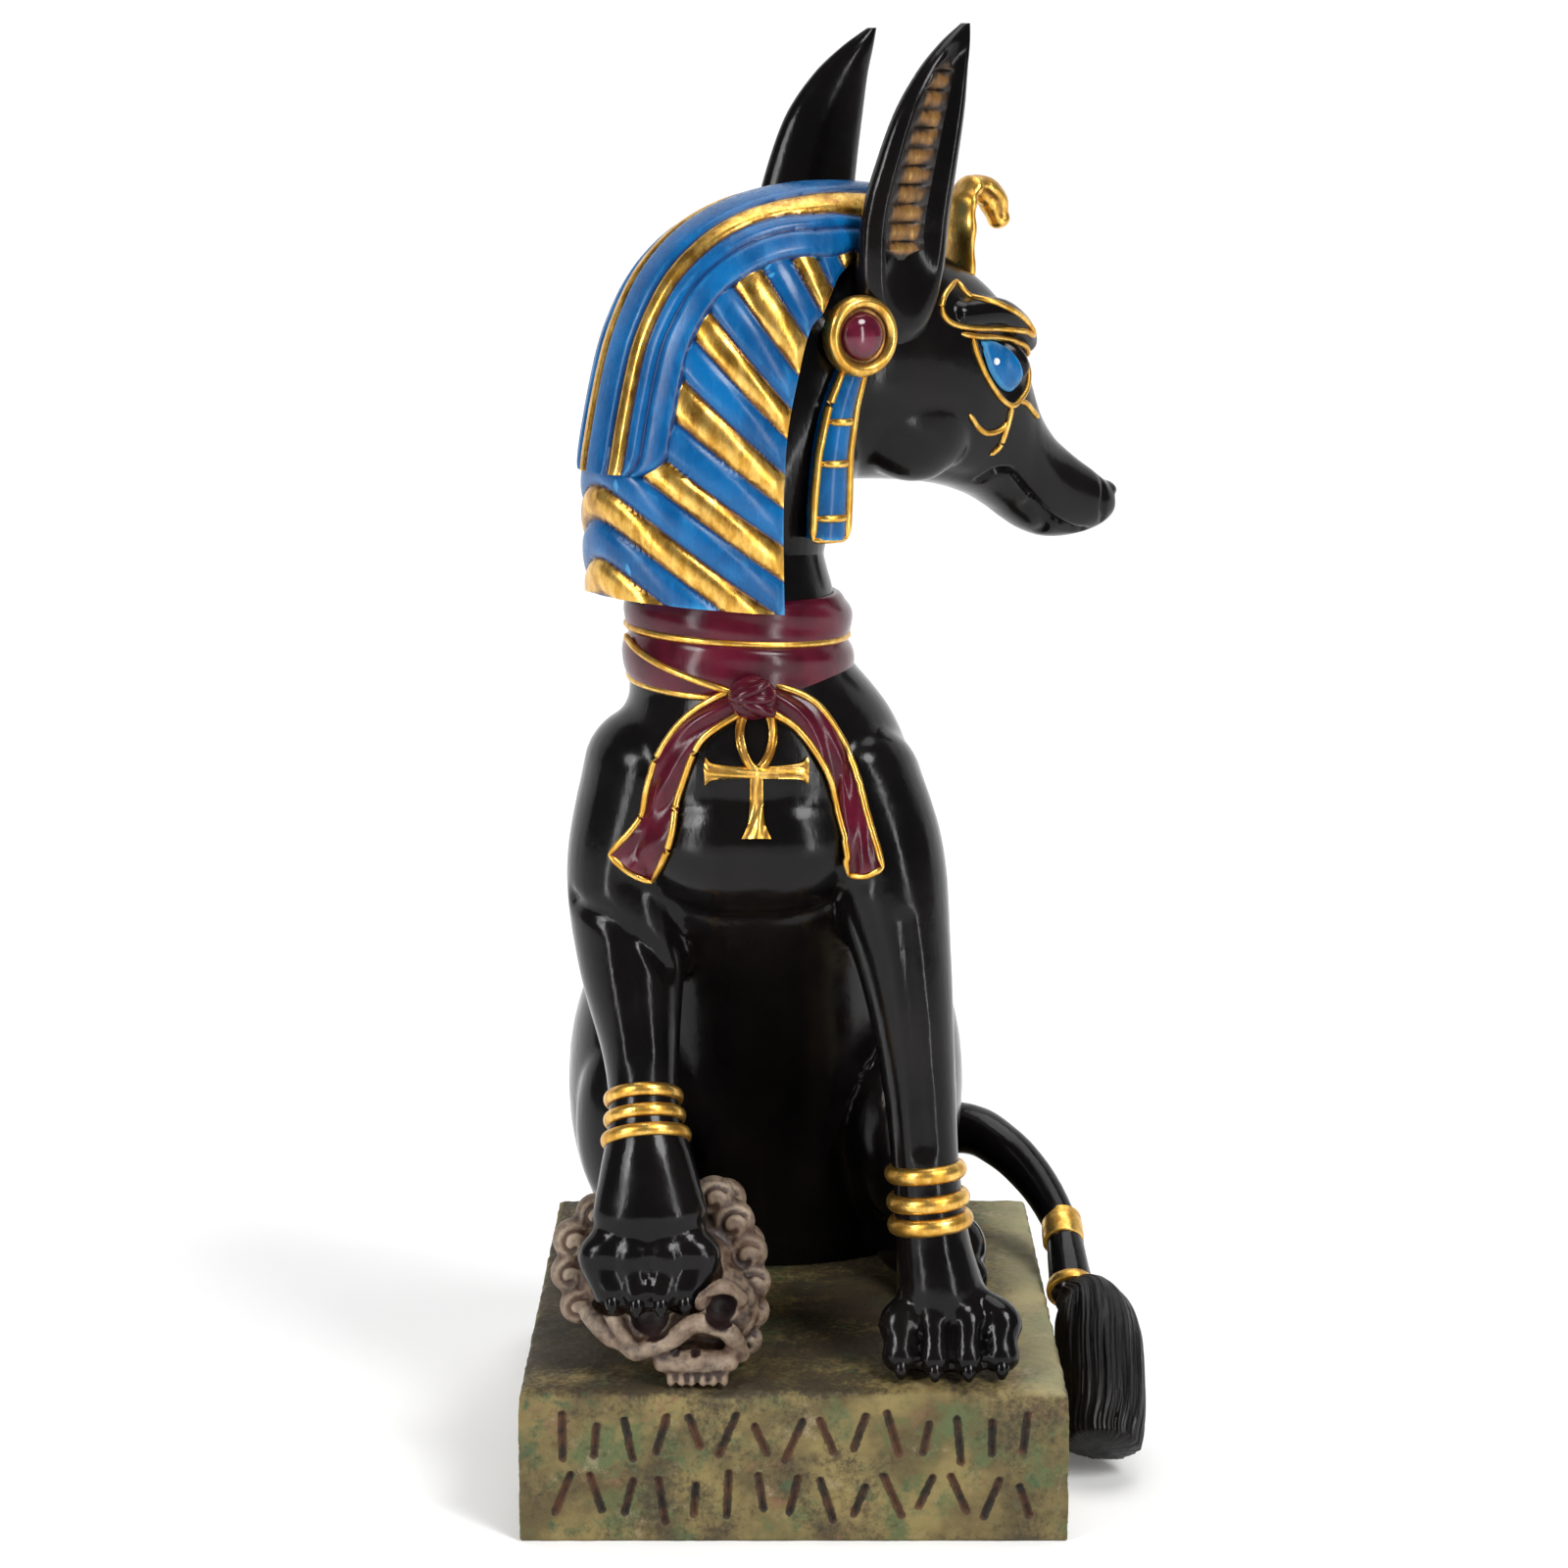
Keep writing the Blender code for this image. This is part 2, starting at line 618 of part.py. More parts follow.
def build_jackal(finish):
    """The whole cast figure: one skin over the masses, with the crisp carving joined to it."""
    bm = bmesh.new()
    add_limb(bm, TORSO, sides=24)
    add_ball(bm, *BREAST, fine=3)
    add_limb(bm, NECK, sides=20)
    add_limb(bm, LEFT_FORELEG)
    add_limb(bm, RIGHT_FORELEG)
    add_haunches(bm)
    add_limb(bm, tail_stations(), side=UP, sides=12)
    add_face(bm)
    for foot in (LEFT_TOES, RIGHT_TOES):
        for stations in toes(**foot):
            add_limb(bm, stations, sides=12)
    tree = BVHTree.FromBMesh(bm)
    jackal = mesh_object("jackal", bm, finish)
    skin(jackal, SKIN_VOXEL, 6, 0.042)

    carving = operands("carving")

    def carve(name, add, *args, **options):
        bm = bmesh.new()
        add(bm, *args, **options)
        helper(mesh_object(name, bm, finish), carving)

    carve("headdress", add_rings, headdress_rings(2, 4, 6))
    for name, sign in (("ear_right", 1), ("ear_left", -1)):
        carve(name, add_rings, ear_rings(sign, 12, 1))
        p, s, z = EAR_DISC
        place = head(p, sign * s, z)
        spin = (0, 90, math.degrees(math.atan2(S.y, S.x)))
        carve(name + "_disc", add_ball, place - S * sign * 0.5, DISC_RADII, spin)
        carve(name + "_gem", add_ball, place + S * sign * GEM_RISE, GEM_RADII, spin)
        rows = [(*head(p + a, sign * (s + b), z + c), w, 3.8) for a, b, c, w in LAPPET]
        carve(name + "_lappet", add_limb, rows, side=P, sides=8, per_span=1, round_ends=(0, 0))
    rows = [(*head(p, 0, z), w, t) for p, z, w, t in COBRA]
    carve("cobra", add_limb, rows, side=S, sides=8, per_span=1, cap_steps=(40,))

    for name, place, radii, thickness, tilt in SCARF_WRAPS:
        carve(name, add_hoop, place, radii, thickness, tilt, 22, 6)
    carve("scarf_knot", add_ball, *KNOT)
    for name, rows in SCARF_ENDS:
        carve(name, add_band, tree, rows, 1.9)
    loop, arms, stem = ankh_strokes()
    for name, stroke in (("ankh_loop", loop), ("ankh_arms", arms), ("ankh_stem", stem)):
        carve(name, add_band, tree, stroke, 1.3, per_span=1)

    for name, *cuff in WRISTS:
        carve(f"{name}_rings", add_cuff, *cuff)
    for k, rows in enumerate(tail_bands()):
        carve(f"tail_band_{k}", add_limb, rows, side=UP, sides=12, per_span=1, round_ends=(0, 0))
    brush = hung(BRUSH_HUNG)
    carve("tail_brush", add_limb, brush, side=UP, sides=12, per_span=1, round_ends=(0, 0.5), cap_steps=(50,))
    boolean(jackal, "UNION", carving)

    trim = operands("trim")
    bm = bmesh.new()
    room = Matrix.Translation((0, 0, -25)) @ Matrix.Diagonal((2 * SIDE + 2 * GAP, 260, 50, 1))
    bmesh.ops.create_cube(bm, size=1.0, matrix=room)
    helper(mesh_object("plinth_room", bm, finish), trim)
    boolean(jackal, "DIFFERENCE", trim)
    thin_out(jackal, 0.67)
    return jackal


def build_skull(finish):
    """A weathered skull with rounded tufts behind it, hollowed where the paw presses on it."""
    bm = bmesh.new()
    for centre, radii, turn in SKULL_MASSES:
        add_ball(bm, centre, radii, turn, 3)
    for ridge in SKULL_RIDGES:
        add_limb(bm, ridge, side=UP, sides=10)
    skull = mesh_object("skull", bm, finish)
    skin(skull, SKULL_VOXEL, 3, 0.055)
    hollows = operands("skull_hollows")
    for k, (centre, radii, turn) in enumerate(SKULL_HOLLOWS):
        bm = bmesh.new()
        add_ball(bm, centre, radii, turn)
        helper(mesh_object(f"hollow_{k}", bm, finish), hollows)
    room = PAW_ROOM
    bm = bmesh.new()
    add_limb(bm, [(x, y, z, w + room, d + room) for x, y, z, w, d in RIGHT_FORELEG[4:]], per_span=2)
    helper(mesh_object("paw_room", bm, finish), hollows)
    for k, stations in enumerate(toes(**RIGHT_TOES)):
        bm = bmesh.new()
        add_limb(bm, [(x, y, z, w + room, d + room) for x, y, z, w, d in stations], sides=8, per_span=2)
        helper(mesh_object(f"toe_room_{k}", bm, finish), hollows)
    bm = bmesh.new()
    bmesh.ops.create_cube(bm, size=1.0, matrix=Matrix.Translation((0, 0, -25)) @ Matrix.Diagonal((200, 200, 50, 1)))
    helper(mesh_object("ground_room", bm, finish), hollows)
    boolean(skull, "DIFFERENCE", hollows)
    thin_out(skull, 0.8)
    return skull


def plinth_strokes():
    """Two rows of slanting straight marks across the front, as (x, z, length, tilt in degrees)."""
    marks = []
    for row, height in enumerate((0.70, 0.30)):
        for k in range(STROKE_COUNT):
            across = (k + 0.5) / STROKE_COUNT - 0.5
            wander = math.sin(5.1 * k + 2.3 * row)
            length = PLINTH_HEIGHT * (0.24 + 0.05 * math.cos(3.7 * k + row))
            place = (across * 0.9 * PLINTH_WIDTH, PLINTH_HEIGHT * (height + 0.03 * wander))
            marks.append((*place, length, 24 * math.sin(2.9 * k + 1.1 * row)))
    return marks


def build_plinth(finish):
    """A block with worn edges and two rows of shallow strokes in its front."""
    top, edge = PLINTH_HEIGHT / U, PLINTH_EDGE / U
    rings = []
    for z, inset in (
        (0, 0.64 * edge),
        (1.1 * edge, 0),
        (top - 2 * edge, 0),
        (top - 0.45 * edge, 0.64 * edge),
        (top, 2.2 * edge),
    ):
        ring = []
        half_x, half_y = SIDE - inset, PLINTH_DEPTH / 2 / U - inset
        corners = [(-half_x, -half_y), (half_x, -half_y), (half_x, half_y), (-half_x, half_y)]
        for (x0, y0), (x1, y1) in zip(corners, corners[1:] + corners[:1]):
            for k in range(8):
                share = (k + 0.12) / 7.24
                ring.append(Vector((x0 + (x1 - x0) * share, y0 + (y1 - y0) * share, z)))
        rings.append(ring)
    bm = bmesh.new()
    add_rings(bm, rings)
    plinth = mesh_object("plinth", bm, finish, lift=False)
    strokes = operands("strokes")
    for k, (x, z, length, tilt) in enumerate(plinth_strokes()):
        bm = bmesh.new()
        turn = Matrix.Rotation(math.radians(tilt), 4, "Y")
        size = Matrix.Diagonal((STROKE_WIDTH / U, 2 * STROKE_DEPTH / U, length / U, 1))
        place = Matrix.Translation((x / U, -PLINTH_DEPTH / 2 / U, z / U))
        bmesh.ops.create_cube(bm, size=1.0, matrix=place @ turn @ size)
        helper(mesh_object(f"stroke_{k}", bm, finish, lift=False), strokes)
    boolean(plinth, "DIFFERENCE", strokes)
    return plinth


def main():
    for obj in list(bpy.data.objects):
        bpy.data.objects.remove(obj)
    for build, name, look in (
        (build_jackal, "black_gloss_resin", BLACK),
        (build_skull, "bone_resin", BONE),
        (build_plinth, "stone_resin", STONE),
    ):
        obj = build(material(name, look))
        obj.data.shade_smooth()
        obj.data.set_sharp_from_angle(angle=math.radians(SHARP_ANGLE))


main()
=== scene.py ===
"""Looks for the seated jackal figurine: each painted part of the casting as its own finely carved piece.

Shapes are worked out in units of 1/268 of the figure's height, with z counted from the plinth's top,
and are turned into metres when a piece is finished.
"""

from math import asin, copysign, cos, exp, hypot, pi, radians, sin, sqrt

import bmesh
import bpy
import numpy as np
from mathutils import Euler, Matrix, Vector, noise
from mathutils.bvhtree import BVHTree


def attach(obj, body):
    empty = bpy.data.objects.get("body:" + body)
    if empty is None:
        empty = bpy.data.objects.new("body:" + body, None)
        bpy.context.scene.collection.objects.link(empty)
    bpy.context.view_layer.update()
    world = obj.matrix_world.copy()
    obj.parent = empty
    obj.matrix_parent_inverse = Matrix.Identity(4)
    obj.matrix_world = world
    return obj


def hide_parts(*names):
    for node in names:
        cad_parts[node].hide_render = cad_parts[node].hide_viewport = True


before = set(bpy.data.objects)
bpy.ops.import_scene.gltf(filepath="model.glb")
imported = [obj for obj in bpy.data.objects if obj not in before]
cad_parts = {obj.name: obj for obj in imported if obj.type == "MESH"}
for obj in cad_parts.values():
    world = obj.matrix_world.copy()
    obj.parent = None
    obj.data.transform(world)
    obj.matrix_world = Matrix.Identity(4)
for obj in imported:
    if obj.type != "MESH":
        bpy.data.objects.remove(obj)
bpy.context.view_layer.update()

FIGURE_HEIGHT = 0.268  # from the plinth's top to the ear tips
PLINTH_WIDTH = 0.110
PLINTH_DEPTH = 0.1287
PLINTH_HEIGHT = 0.0317
REST_GAP = 0.0003  # between the plinth and what stands on it
STROKE_WIDTH = 0.0011
STROKE_DEPTH = 0.0009
STROKE_COUNT = 15
TUFT_CLEARANCE = 0.0075  # from the end of the tail's brush to the table

# One unit in metres; then in units, half the plinth's width, the brush's fall and the gap.
U = FIGURE_HEIGHT / 268.0
SIDE = PLINTH_WIDTH / 2 / U
DROP = (PLINTH_HEIGHT - TUFT_CLEARANCE) / U
GAP = REST_GAP / U

HEAD = Vector((14.0, -4.6, 0.0))
HEAD_TURN = radians(30)
P = Vector((cos(HEAD_TURN), sin(HEAD_TURN), 0.0))  # along the muzzle
S = Vector((sin(HEAD_TURN), -cos(HEAD_TURN), 0.0))  # to the head's right
UP = Vector((0.0, 0.0, 1.0))
X = Vector((1.0, 0.0, 0.0))

# How fine the grown skins are; the body's keeps it under 200,000 triangles.
BODY_VOXEL = 0.94
HEAD_VOXEL = 0.6
SKULL_VOXEL = 0.6
LINE_RADIUS = 0.62  # painted raised outlines
TUBE_SIDES = 10
END_TURNS = (84, 72, 60, 48, 36, 24, 12)  # degrees round a limb's domed end

# The camera, worked out from the plinth's edges in the photograph.
CAMERA_PLACE = (-0.00195, -0.72384, 0.27776)
CAMERA_PITCH = radians(10.572)
CAMERA_LENS = 80.0
CAMERA_SENSOR = 36.0


def head(p, s, z):
    """The place of a point given along the muzzle, to the head's right, and up."""
    return HEAD + P * p + S * s + UP * z


def smooth_rows(rows, per_span):
    """Rows on a smooth curve through the given rows, with per_span of them to each span."""
    given = np.array(rows, float)
    padded = np.vstack([2 * given[0] - given[1], given, 2 * given[-1] - given[-2]])
    made = []
    for a, b, c, d in zip(padded, padded[1:], padded[2:], padded[3:]):
        for t in np.arange(per_span) / per_span:
            bend = (2 * a - 5 * b + 4 * c - d) * t * t + (3 * b - a - 3 * c + d) * t**3
            made.append(0.5 * (2 * b + (c - a) * t + bend))
    return np.array(made + [given[-1]])


def circle(count):
    """Angles once round, with that many steps."""
    return [2 * pi * k / count for k in range(count)]


def add_rings(bm, rings, closed=False):
    """Faces between rings of equally many points. Open ends are closed by a fan."""
    made = [[bm.verts.new(p) for p in ring] for ring in rings]
    count = len(made[0])
    for lower, upper in zip(made, made[1:] + made[:1] if closed else made[1:]):
        for i in range(count):
            j = (i + 1) % count
            bm.faces.new((lower[i], lower[j], upper[j], upper[i]))
    if closed:
        return
    for ring, flip in ((made[0], True), (made[-1], False)):
        middle = bm.verts.new(sum((v.co for v in ring), Vector()) / count)
        for i in range(count):
            a, b = ring[i], ring[(i + 1) % count]
            bm.faces.new((b, a, middle) if flip else (a, b, middle))


def add_limb(bm, stations, side=X, sides=32, per_span=8, round_ends=(0.9, 0.9), swell=None):
    """A rounded form along stations of (x, y, z, half width, half depth)."""
    rows = smooth_rows(stations, per_span)
    centres = [Vector(r[:3]) for r in rows]
    sizes = [(max(r[3], 0.3), max(r[4], 0.3)) for r in rows]
    last = len(centres) - 1
    tangents = []
    for i in range(last + 1):
        tangents.append((centres[min(i + 1, last)] - centres[max(i - 1, 0)]).normalized())
    before, after = [], []
    for turn in END_TURNS:
        a = radians(turn)
        for end, sign, share, found in ((0, -1, round_ends[0], before), (-1, 1, round_ends[1], after)):
            if share <= 0:
                continue
            reach = share * min(sizes[end]) * sin(a) * sign
            shrunk = tuple(v * cos(a) for v in sizes[end])
            found.append((centres[end] + tangents[end] * reach, tangents[end], shrunk))
    rings = []
    spans = before + list(zip(centres, tangents, sizes)) + after[::-1]
    for n, (centre, along, (half_width, half_depth)) in enumerate(spans):
        across = (side - along * side.dot(along)).normalized()
        deep = along.cross(across)
        ring = []
        for a in circle(sides):
            grow = swell(n / (len(spans) - 1), a) if swell else 0.0
            beside = across * (half_width + grow) * cos(a)
            ring.append(centre + beside + deep * (half_depth + grow) * sin(a))
        rings.append(ring)
    add_rings(bm, rings)


def add_ball(bm, centre, radii, turn=(0, 0, 0), fine=4):
    """An ellipsoid, turned by degrees about X, Y and Z."""
    spin = Euler([radians(a) for a in turn]).to_matrix().to_4x4()
    place = Matrix.Translation(centre) @ spin @ Matrix.Diagonal((*radii, 1.0))
    bmesh.ops.create_icosphere(bm, subdivisions=fine, radius=1.0, matrix=place)


def hoop_point(hoop, a, b, lift):
    """A point round a tilted hoop at angle a, at angle b on its section, that far off its surface."""
    centre, radii, thickness, tilt = hoop
    spin = Euler([radians(t) for t in tilt]).to_matrix()
    out = Vector((cos(a), sin(a), 0))
    line = Vector((radii[0] * out.x, radii[1] * out.y, 0))
    point = line + out * (thickness[0] + lift) * cos(b)
    return Vector(centre) + spin @ (point - UP * (thickness[1] + lift) * sin(b))


def add_tube(bm, points, radius, closed=False):
    """A round tube through points, tapered to rounded ends unless it is closed."""
    points = [Vector(p) for p in points]
    last = len(points) - 1
    rings = []
    for i, point in enumerate(points):
        ahead = points[(i + 1) % (last + 1)] if closed else points[min(i + 1, last)]
        behind = points[i - 1] if closed or i else points[0]
        along = (ahead - behind).normalized()
        guide = UP if abs(along.z) < 0.9 else X
        across = (guide - along * guide.dot(along)).normalized()
        deep = along.cross(across)
        size = radius
        if not closed:
            size *= min(1.0, sqrt((min(i, last - i) + 0.25) / 2.5))
        rings.append(
            [point + across * size * cos(a) + deep * size * sin(a) for a in circle(TUBE_SIDES)]
        )
    add_rings(bm, rings, closed=closed)


def add_hem(bm, edges, bulge, radius):
    """A tube across the end of a band, from one edge line's last point to the other's."""
    left, right = edges[0][-1], edges[1][-1]
    add_tube(bm, smooth_rows([left, (left + right) / 2 + bulge, right], 8), radius)


def put_in_scene(name, data):
    obj = bpy.data.objects.new(name, data)
    bpy.context.scene.collection.objects.link(obj)
    return obj


def into_object(name, bm):
    bmesh.ops.recalc_face_normals(bm, faces=bm.faces)
    mesh = bpy.data.meshes.new(name)
    bm.to_mesh(mesh)
    bm.free()
    return put_in_scene(name, mesh)


def grow_skin(name, bm, voxel, smoothing):
    """One even skin over overlapping masses, softened where they join."""
    rough = into_object(name + "_masses", bm)
    remesh = rough.modifiers.new("Skin", "REMESH")
    remesh.mode = "VOXEL"
    remesh.voxel_size = voxel
    soften = rough.modifiers.new("Soften", "SMOOTH")
    soften.factor = 0.5
    soften.iterations = smoothing
    seen = rough.evaluated_get(bpy.context.evaluated_depsgraph_get())
    mesh = bpy.data.meshes.new_from_object(seen)
    mesh.name = name
    masses = rough.data
    bpy.data.objects.remove(rough)
    bpy.data.meshes.remove(masses)
    return put_in_scene(name, mesh)


def tree_of(obj):
    """A piece's surface, to be hit with rays."""
    bm = bmesh.new()
    bm.from_mesh(obj.data)
    tree = BVHTree.FromBMesh(bm)
    bm.free()
    return tree


def points_and_normals(mesh):
    places = np.empty(len(mesh.vertices) * 3)
    mesh.vertices.foreach_get("co", places)
    normals = np.empty(len(mesh.vertices) * 3)
    mesh.vertex_normals.foreach_get("vector", normals)
    return places.reshape(-1, 3), normals.reshape(-1, 3)


def set_points(mesh, places):
    mesh.vertices.foreach_set("co", places.ravel())
    mesh.update()


def distance_to_line(places, line):
    """How far each place is from a line through points."""
    best = np.full(len(places), 1e9)
    points = np.array([tuple(p) for p in line], float)
    for a, b in zip(points, points[1:]):
        way = b - a
        along = np.clip((places - a) @ way / max(way @ way, 1e-9), 0, 1)
        best = np.minimum(best, np.linalg.norm(places - (a + along[:, None] * way), axis=1))
    return best


def press(obj, line, width, depth):
    """Presses a soft groove into the surface along a line."""
    places, normals = points_and_normals(obj.data)
    away = distance_to_line(places, line)
    set_points(obj.data, places - normals * (depth * np.exp(-((away / width) ** 2)))[:, None])


def add_number(mesh, name, values):
    """A number for each point of a mesh, which its paint reads by name."""
    layer = mesh.attributes.new(name, "FLOAT", "POINT")
    layer.data.foreach_set("value", np.asarray(values, dtype=np.float32))


def finish(obj, finish_material, stands_for=None, lift=True, sharp=40):
    """Turns a piece into metres, places it on the plinth, paints it and hangs it on the casting."""
    rise = PLINTH_HEIGHT + REST_GAP if lift else 0.0
    obj.data.transform(Matrix.Translation((0, 0, rise)) @ Matrix.Scale(U, 4))
    obj.data.shade_smooth()
    obj.data.set_sharp_from_angle(angle=radians(sharp))
    obj.data.materials.clear()
    obj.data.materials.append(finish_material)
    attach(obj, "root")
    if stands_for:
        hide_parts(stands_for)
    return obj


# Body masses, close to those of the solid: stations of (x, y, z, half width, half depth).
TORSO = [
    (-6, 34, 4, 31, 21), (-6, 30, 26, 33, 26), (-6.5, 17, 56, 32, 29), (-7.5, 0, 84, 32.5, 28),
    (-8, -14, 106, 34, 30), (-8.8, -19, 122, 31.2, 28.5), (-11, -19, 137, 22.8, 23.8),
]
BREAST = ((-8, -32, 106), (25, 18.5, 17))
NECK = [
    (-11, -19, 130, 21.5, 22), (-11.5, -19, 151, 20.2, 21.0), (-11.5, -18.5, 162, 17.6, 18.7),
    (-8, -16.5, 177, 17.8, 18.5), (-1, -12.5, 190, 18, 19), (2.5, -11, 202, 17.5, 18),
]
LEFT_FORELEG = [
    (12, -24, 114, 14.6, 20), (18, -31, 100, 13, 17), (22.5, -37, 80, 9.6, 12.5),
    (25.3, -41, 58, 7.6, 9.6), (26.7, -44, 40, 6.9, 8.2), (28.2, -46, 25, 7.6, 8.6),
    (29.8, -47.5, 15, 9.0, 9.6), (31.0, -47.4, 8, 10.6, 7.2),
]
RIGHT_FORELEG = [
    (-28, -22, 118, 15, 19), (-33, -24, 98, 13.6, 17), (-33, -30, 80, 11.2, 13),
    (-31, -38, 63, 8, 9.8), (-30.2, -44, 52, 7.2, 8), (-29.3, -49.5, 42, 9.6, 8.4),
    (-28.8, -53.4, 33, 11.8, 8.2),
]
TAIL_HUNG = [
    (15, -0.30, 4.0), (7, -0.13, 4.5), (0, 0.04, 4.9),
]
BRUSH_HUNG = [
    (-2, 0.05, 4.8), (-5.6, 0.13, 8.0), (-12, 0.32, 9.5), (-21, 0.60, 9.6), (-27, 0.82, 9.4),
    (-31, 1.0, 8.8),
]
LEFT_TOES = dict(
    foot_x=31.6, foot_y=-52, foot_z=9.8, spread=10.1, reach=7.2, drop=9.0, size=4.1, tuck=1.0
)
RIGHT_TOES = dict(
    foot_x=-28.8, foot_y=-57.1, foot_z=25.2, spread=9.6, reach=3.8, drop=10, size=4.5, tuck=0.76
)
TOE_ARC = 2.2  # how much further back the outer toes are
TOE_GAP = (1.0, 1.5)  # width and depth of the groove between two toes
HIND_FEET = (-39.0, 33.5)  # how far out each hind foot is
HIND_TOE_STEP, HIND_TOE_RADII = 5.4, (3.1, 3.8, 4.2)
HIP_MIDDLE, HIP_OUT = -6, 26
BODY_SMOOTHING, HEAD_SMOOTHING, SKULL_SMOOTHING = 8, 4, 2
# Soft grooves pressed into the body's front: points of (x, z), width, depth.
BODY_GROOVES = [
    ([(22, 92), (24, 74), (25, 58), (26, 46)], 1.7, 0.9),
    ([(-34, 86), (-32.5, 74), (-31, 64)], 1.8, 0.6),
    ([(-45, 93), (-38, 91), (-30, 86), (-25, 80)], 1.8, 1.3),
    ([(-7.5, 112), (-7.5, 102), (-7.5, 94)], 5.0, 1.3),
    ([(-33, 99), (-24, 93), (-14, 90.5), (-3, 90.5), (7, 94), (14, 100)], 2.6, 0.4),
    ([(-7.5, 86), (-7, 66), (-6.5, 46)], 6.5, 1.2),
]


def hung(rows):
    """Stations that lie against the plinth's right side, from (y, share of the drop, radius)."""
    return [(SIDE + GAP * 2 + r, y, -share * DROP, r, r) for y, share, r in rows]


def tail_stations():
    over_edge = [
        (6, 50, 12, 8, 8), (24, 52, 19, 6.8, 6.8), (39.4, 44, 22.5, 5.9, 5.9),
        (47.5, 36, 20.5, 5.3, 5.3),
        (SIDE - 1.6, 29, 16.2, 4.8, 4.8),
        (SIDE + 2.4, 22, 11.5, 4.3, 4.3),
    ]
    return over_edge + hung(TAIL_HUNG)


def toe_stations(foot_x, foot_y, foot_z, spread, reach, drop, size, tuck):
    """Stations for each of the four curled toes in a row; tuck draws their tips together."""
    made = []
    for k in range(4):
        share = (k - 1.5) / 1.5
        x = foot_x + spread * share
        back = TOE_ARC * abs(share)
        root = (foot_x + 0.55 * spread * share, foot_y + 0.35 * reach, foot_z + 0.35 * drop)
        knuckle = (x, foot_y - 0.35 * reach + back, foot_z)
        waist = (foot_x + 0.97 * (x - foot_x), foot_y - 0.72 * reach + back, foot_z - 0.30 * drop)
        tip = (foot_x + tuck * (x - foot_x), foot_y - 0.88 * reach + back, foot_z - 0.62 * drop)
        made.append(
            [
                (*root, size * 0.85, size),
                (*knuckle, size * 1.12, size * 1.2),
                (*waist, size * 0.84, size * 0.86),
                (*tip, size, size),
            ]
        )
    return made


def toe_gaps(foot):
    """Lines between neighbouring toes, over the knuckles and down the front."""
    rows = toe_stations(**foot)
    lines = []
    for one, other in zip(rows, rows[1:]):
        line = []
        for a, b in zip(one, other):
            middle = (Vector(a[:3]) + Vector(b[:3])) / 2
            line.append(middle + Vector((0, -0.35, 0.65)) * foot["size"])
        line.append(line[-1] + Vector((0, -1.5, -4)))
        lines.append(line)
    return lines


def add_haunches(bm):
    """The folded hind legs, with feet and toes."""
    for sign, foot in zip((-1, 1), HIND_FEET):
        hip = HIP_MIDDLE + sign * HIP_OUT
        add_ball(bm, (hip + sign * 2, 22, 40), (15.5, 27, 35), (12, 0, 0))
        add_ball(bm, (hip + sign * 3, 4, 36), (12, 15, 22))
        add_limb(
            bm,
            [
                (hip + sign * 5, 26, 5, 8, 7),
                (hip + sign * 6, 10, 6.5, 7.8, 7.5),
                (foot, -2, 8.5, 8.8, 8.8),
            ],
        )
        for k in (-1, 0, 1):
            add_ball(bm, (foot + HIND_TOE_STEP * k, -9.6 + 0.8 * abs(k), 4.8), HIND_TOE_RADII)


def front_of(tree, x, z):
    """The place and normal on the front of a surface at that x and z."""
    place, normal, _, _ = tree.ray_cast(Vector((x, -150, z)), Vector((0, 1, 0)))
    return place, normal


def side_of(tree, p, z, sign):
    """The place and normal on the head's outer side, that far along the muzzle and that high."""
    start = head(p, sign * 60, z)
    place, normal, _, _ = tree.ray_cast(start, -S * sign)
    if place is None:
        place, normal, _, _ = tree.find_nearest(head(p, sign * 4, z))
    return place, normal


def build_body(black):
    """The body, and its surface for what is laid on it."""
    bm = bmesh.new()
    add_limb(bm, TORSO, sides=64)
    add_ball(bm, *BREAST)
    add_limb(bm, NECK[:3], sides=48)
    add_limb(bm, LEFT_FORELEG)
    add_limb(bm, RIGHT_FORELEG)
    add_haunches(bm)
    add_limb(bm, tail_stations(), side=UP, sides=24)
    for foot in (LEFT_TOES, RIGHT_TOES):
        for stations in toe_stations(**foot):
            add_limb(bm, stations, sides=16, per_span=4)
    body = grow_skin("jackal_body", bm, BODY_VOXEL, BODY_SMOOTHING)
    tree = tree_of(body)
    for line, width, depth in BODY_GROOVES:
        press(body, [front_of(tree, x, z)[0] for x, z in line], width, depth)
    for foot in (LEFT_TOES, RIGHT_TOES):
        for line in toe_gaps(foot):
            press(body, line, *TOE_GAP)
    flatten_under(body)
    surface = tree_of(body)
    finish(body, black, "jackal")
    return surface


def flatten_under(obj):
    """Flattens what reaches below the resting level over the plinth."""
    places, _ = points_and_normals(obj.data)
    over = (np.abs(places[:, 0]) < SIDE + GAP) & (np.abs(places[:, 1]) < PLINTH_DEPTH / 2 / U)
    places[:, 2] = np.where(over, np.maximum(places[:, 2], 0.0), places[:, 2])
    set_points(obj.data, places)


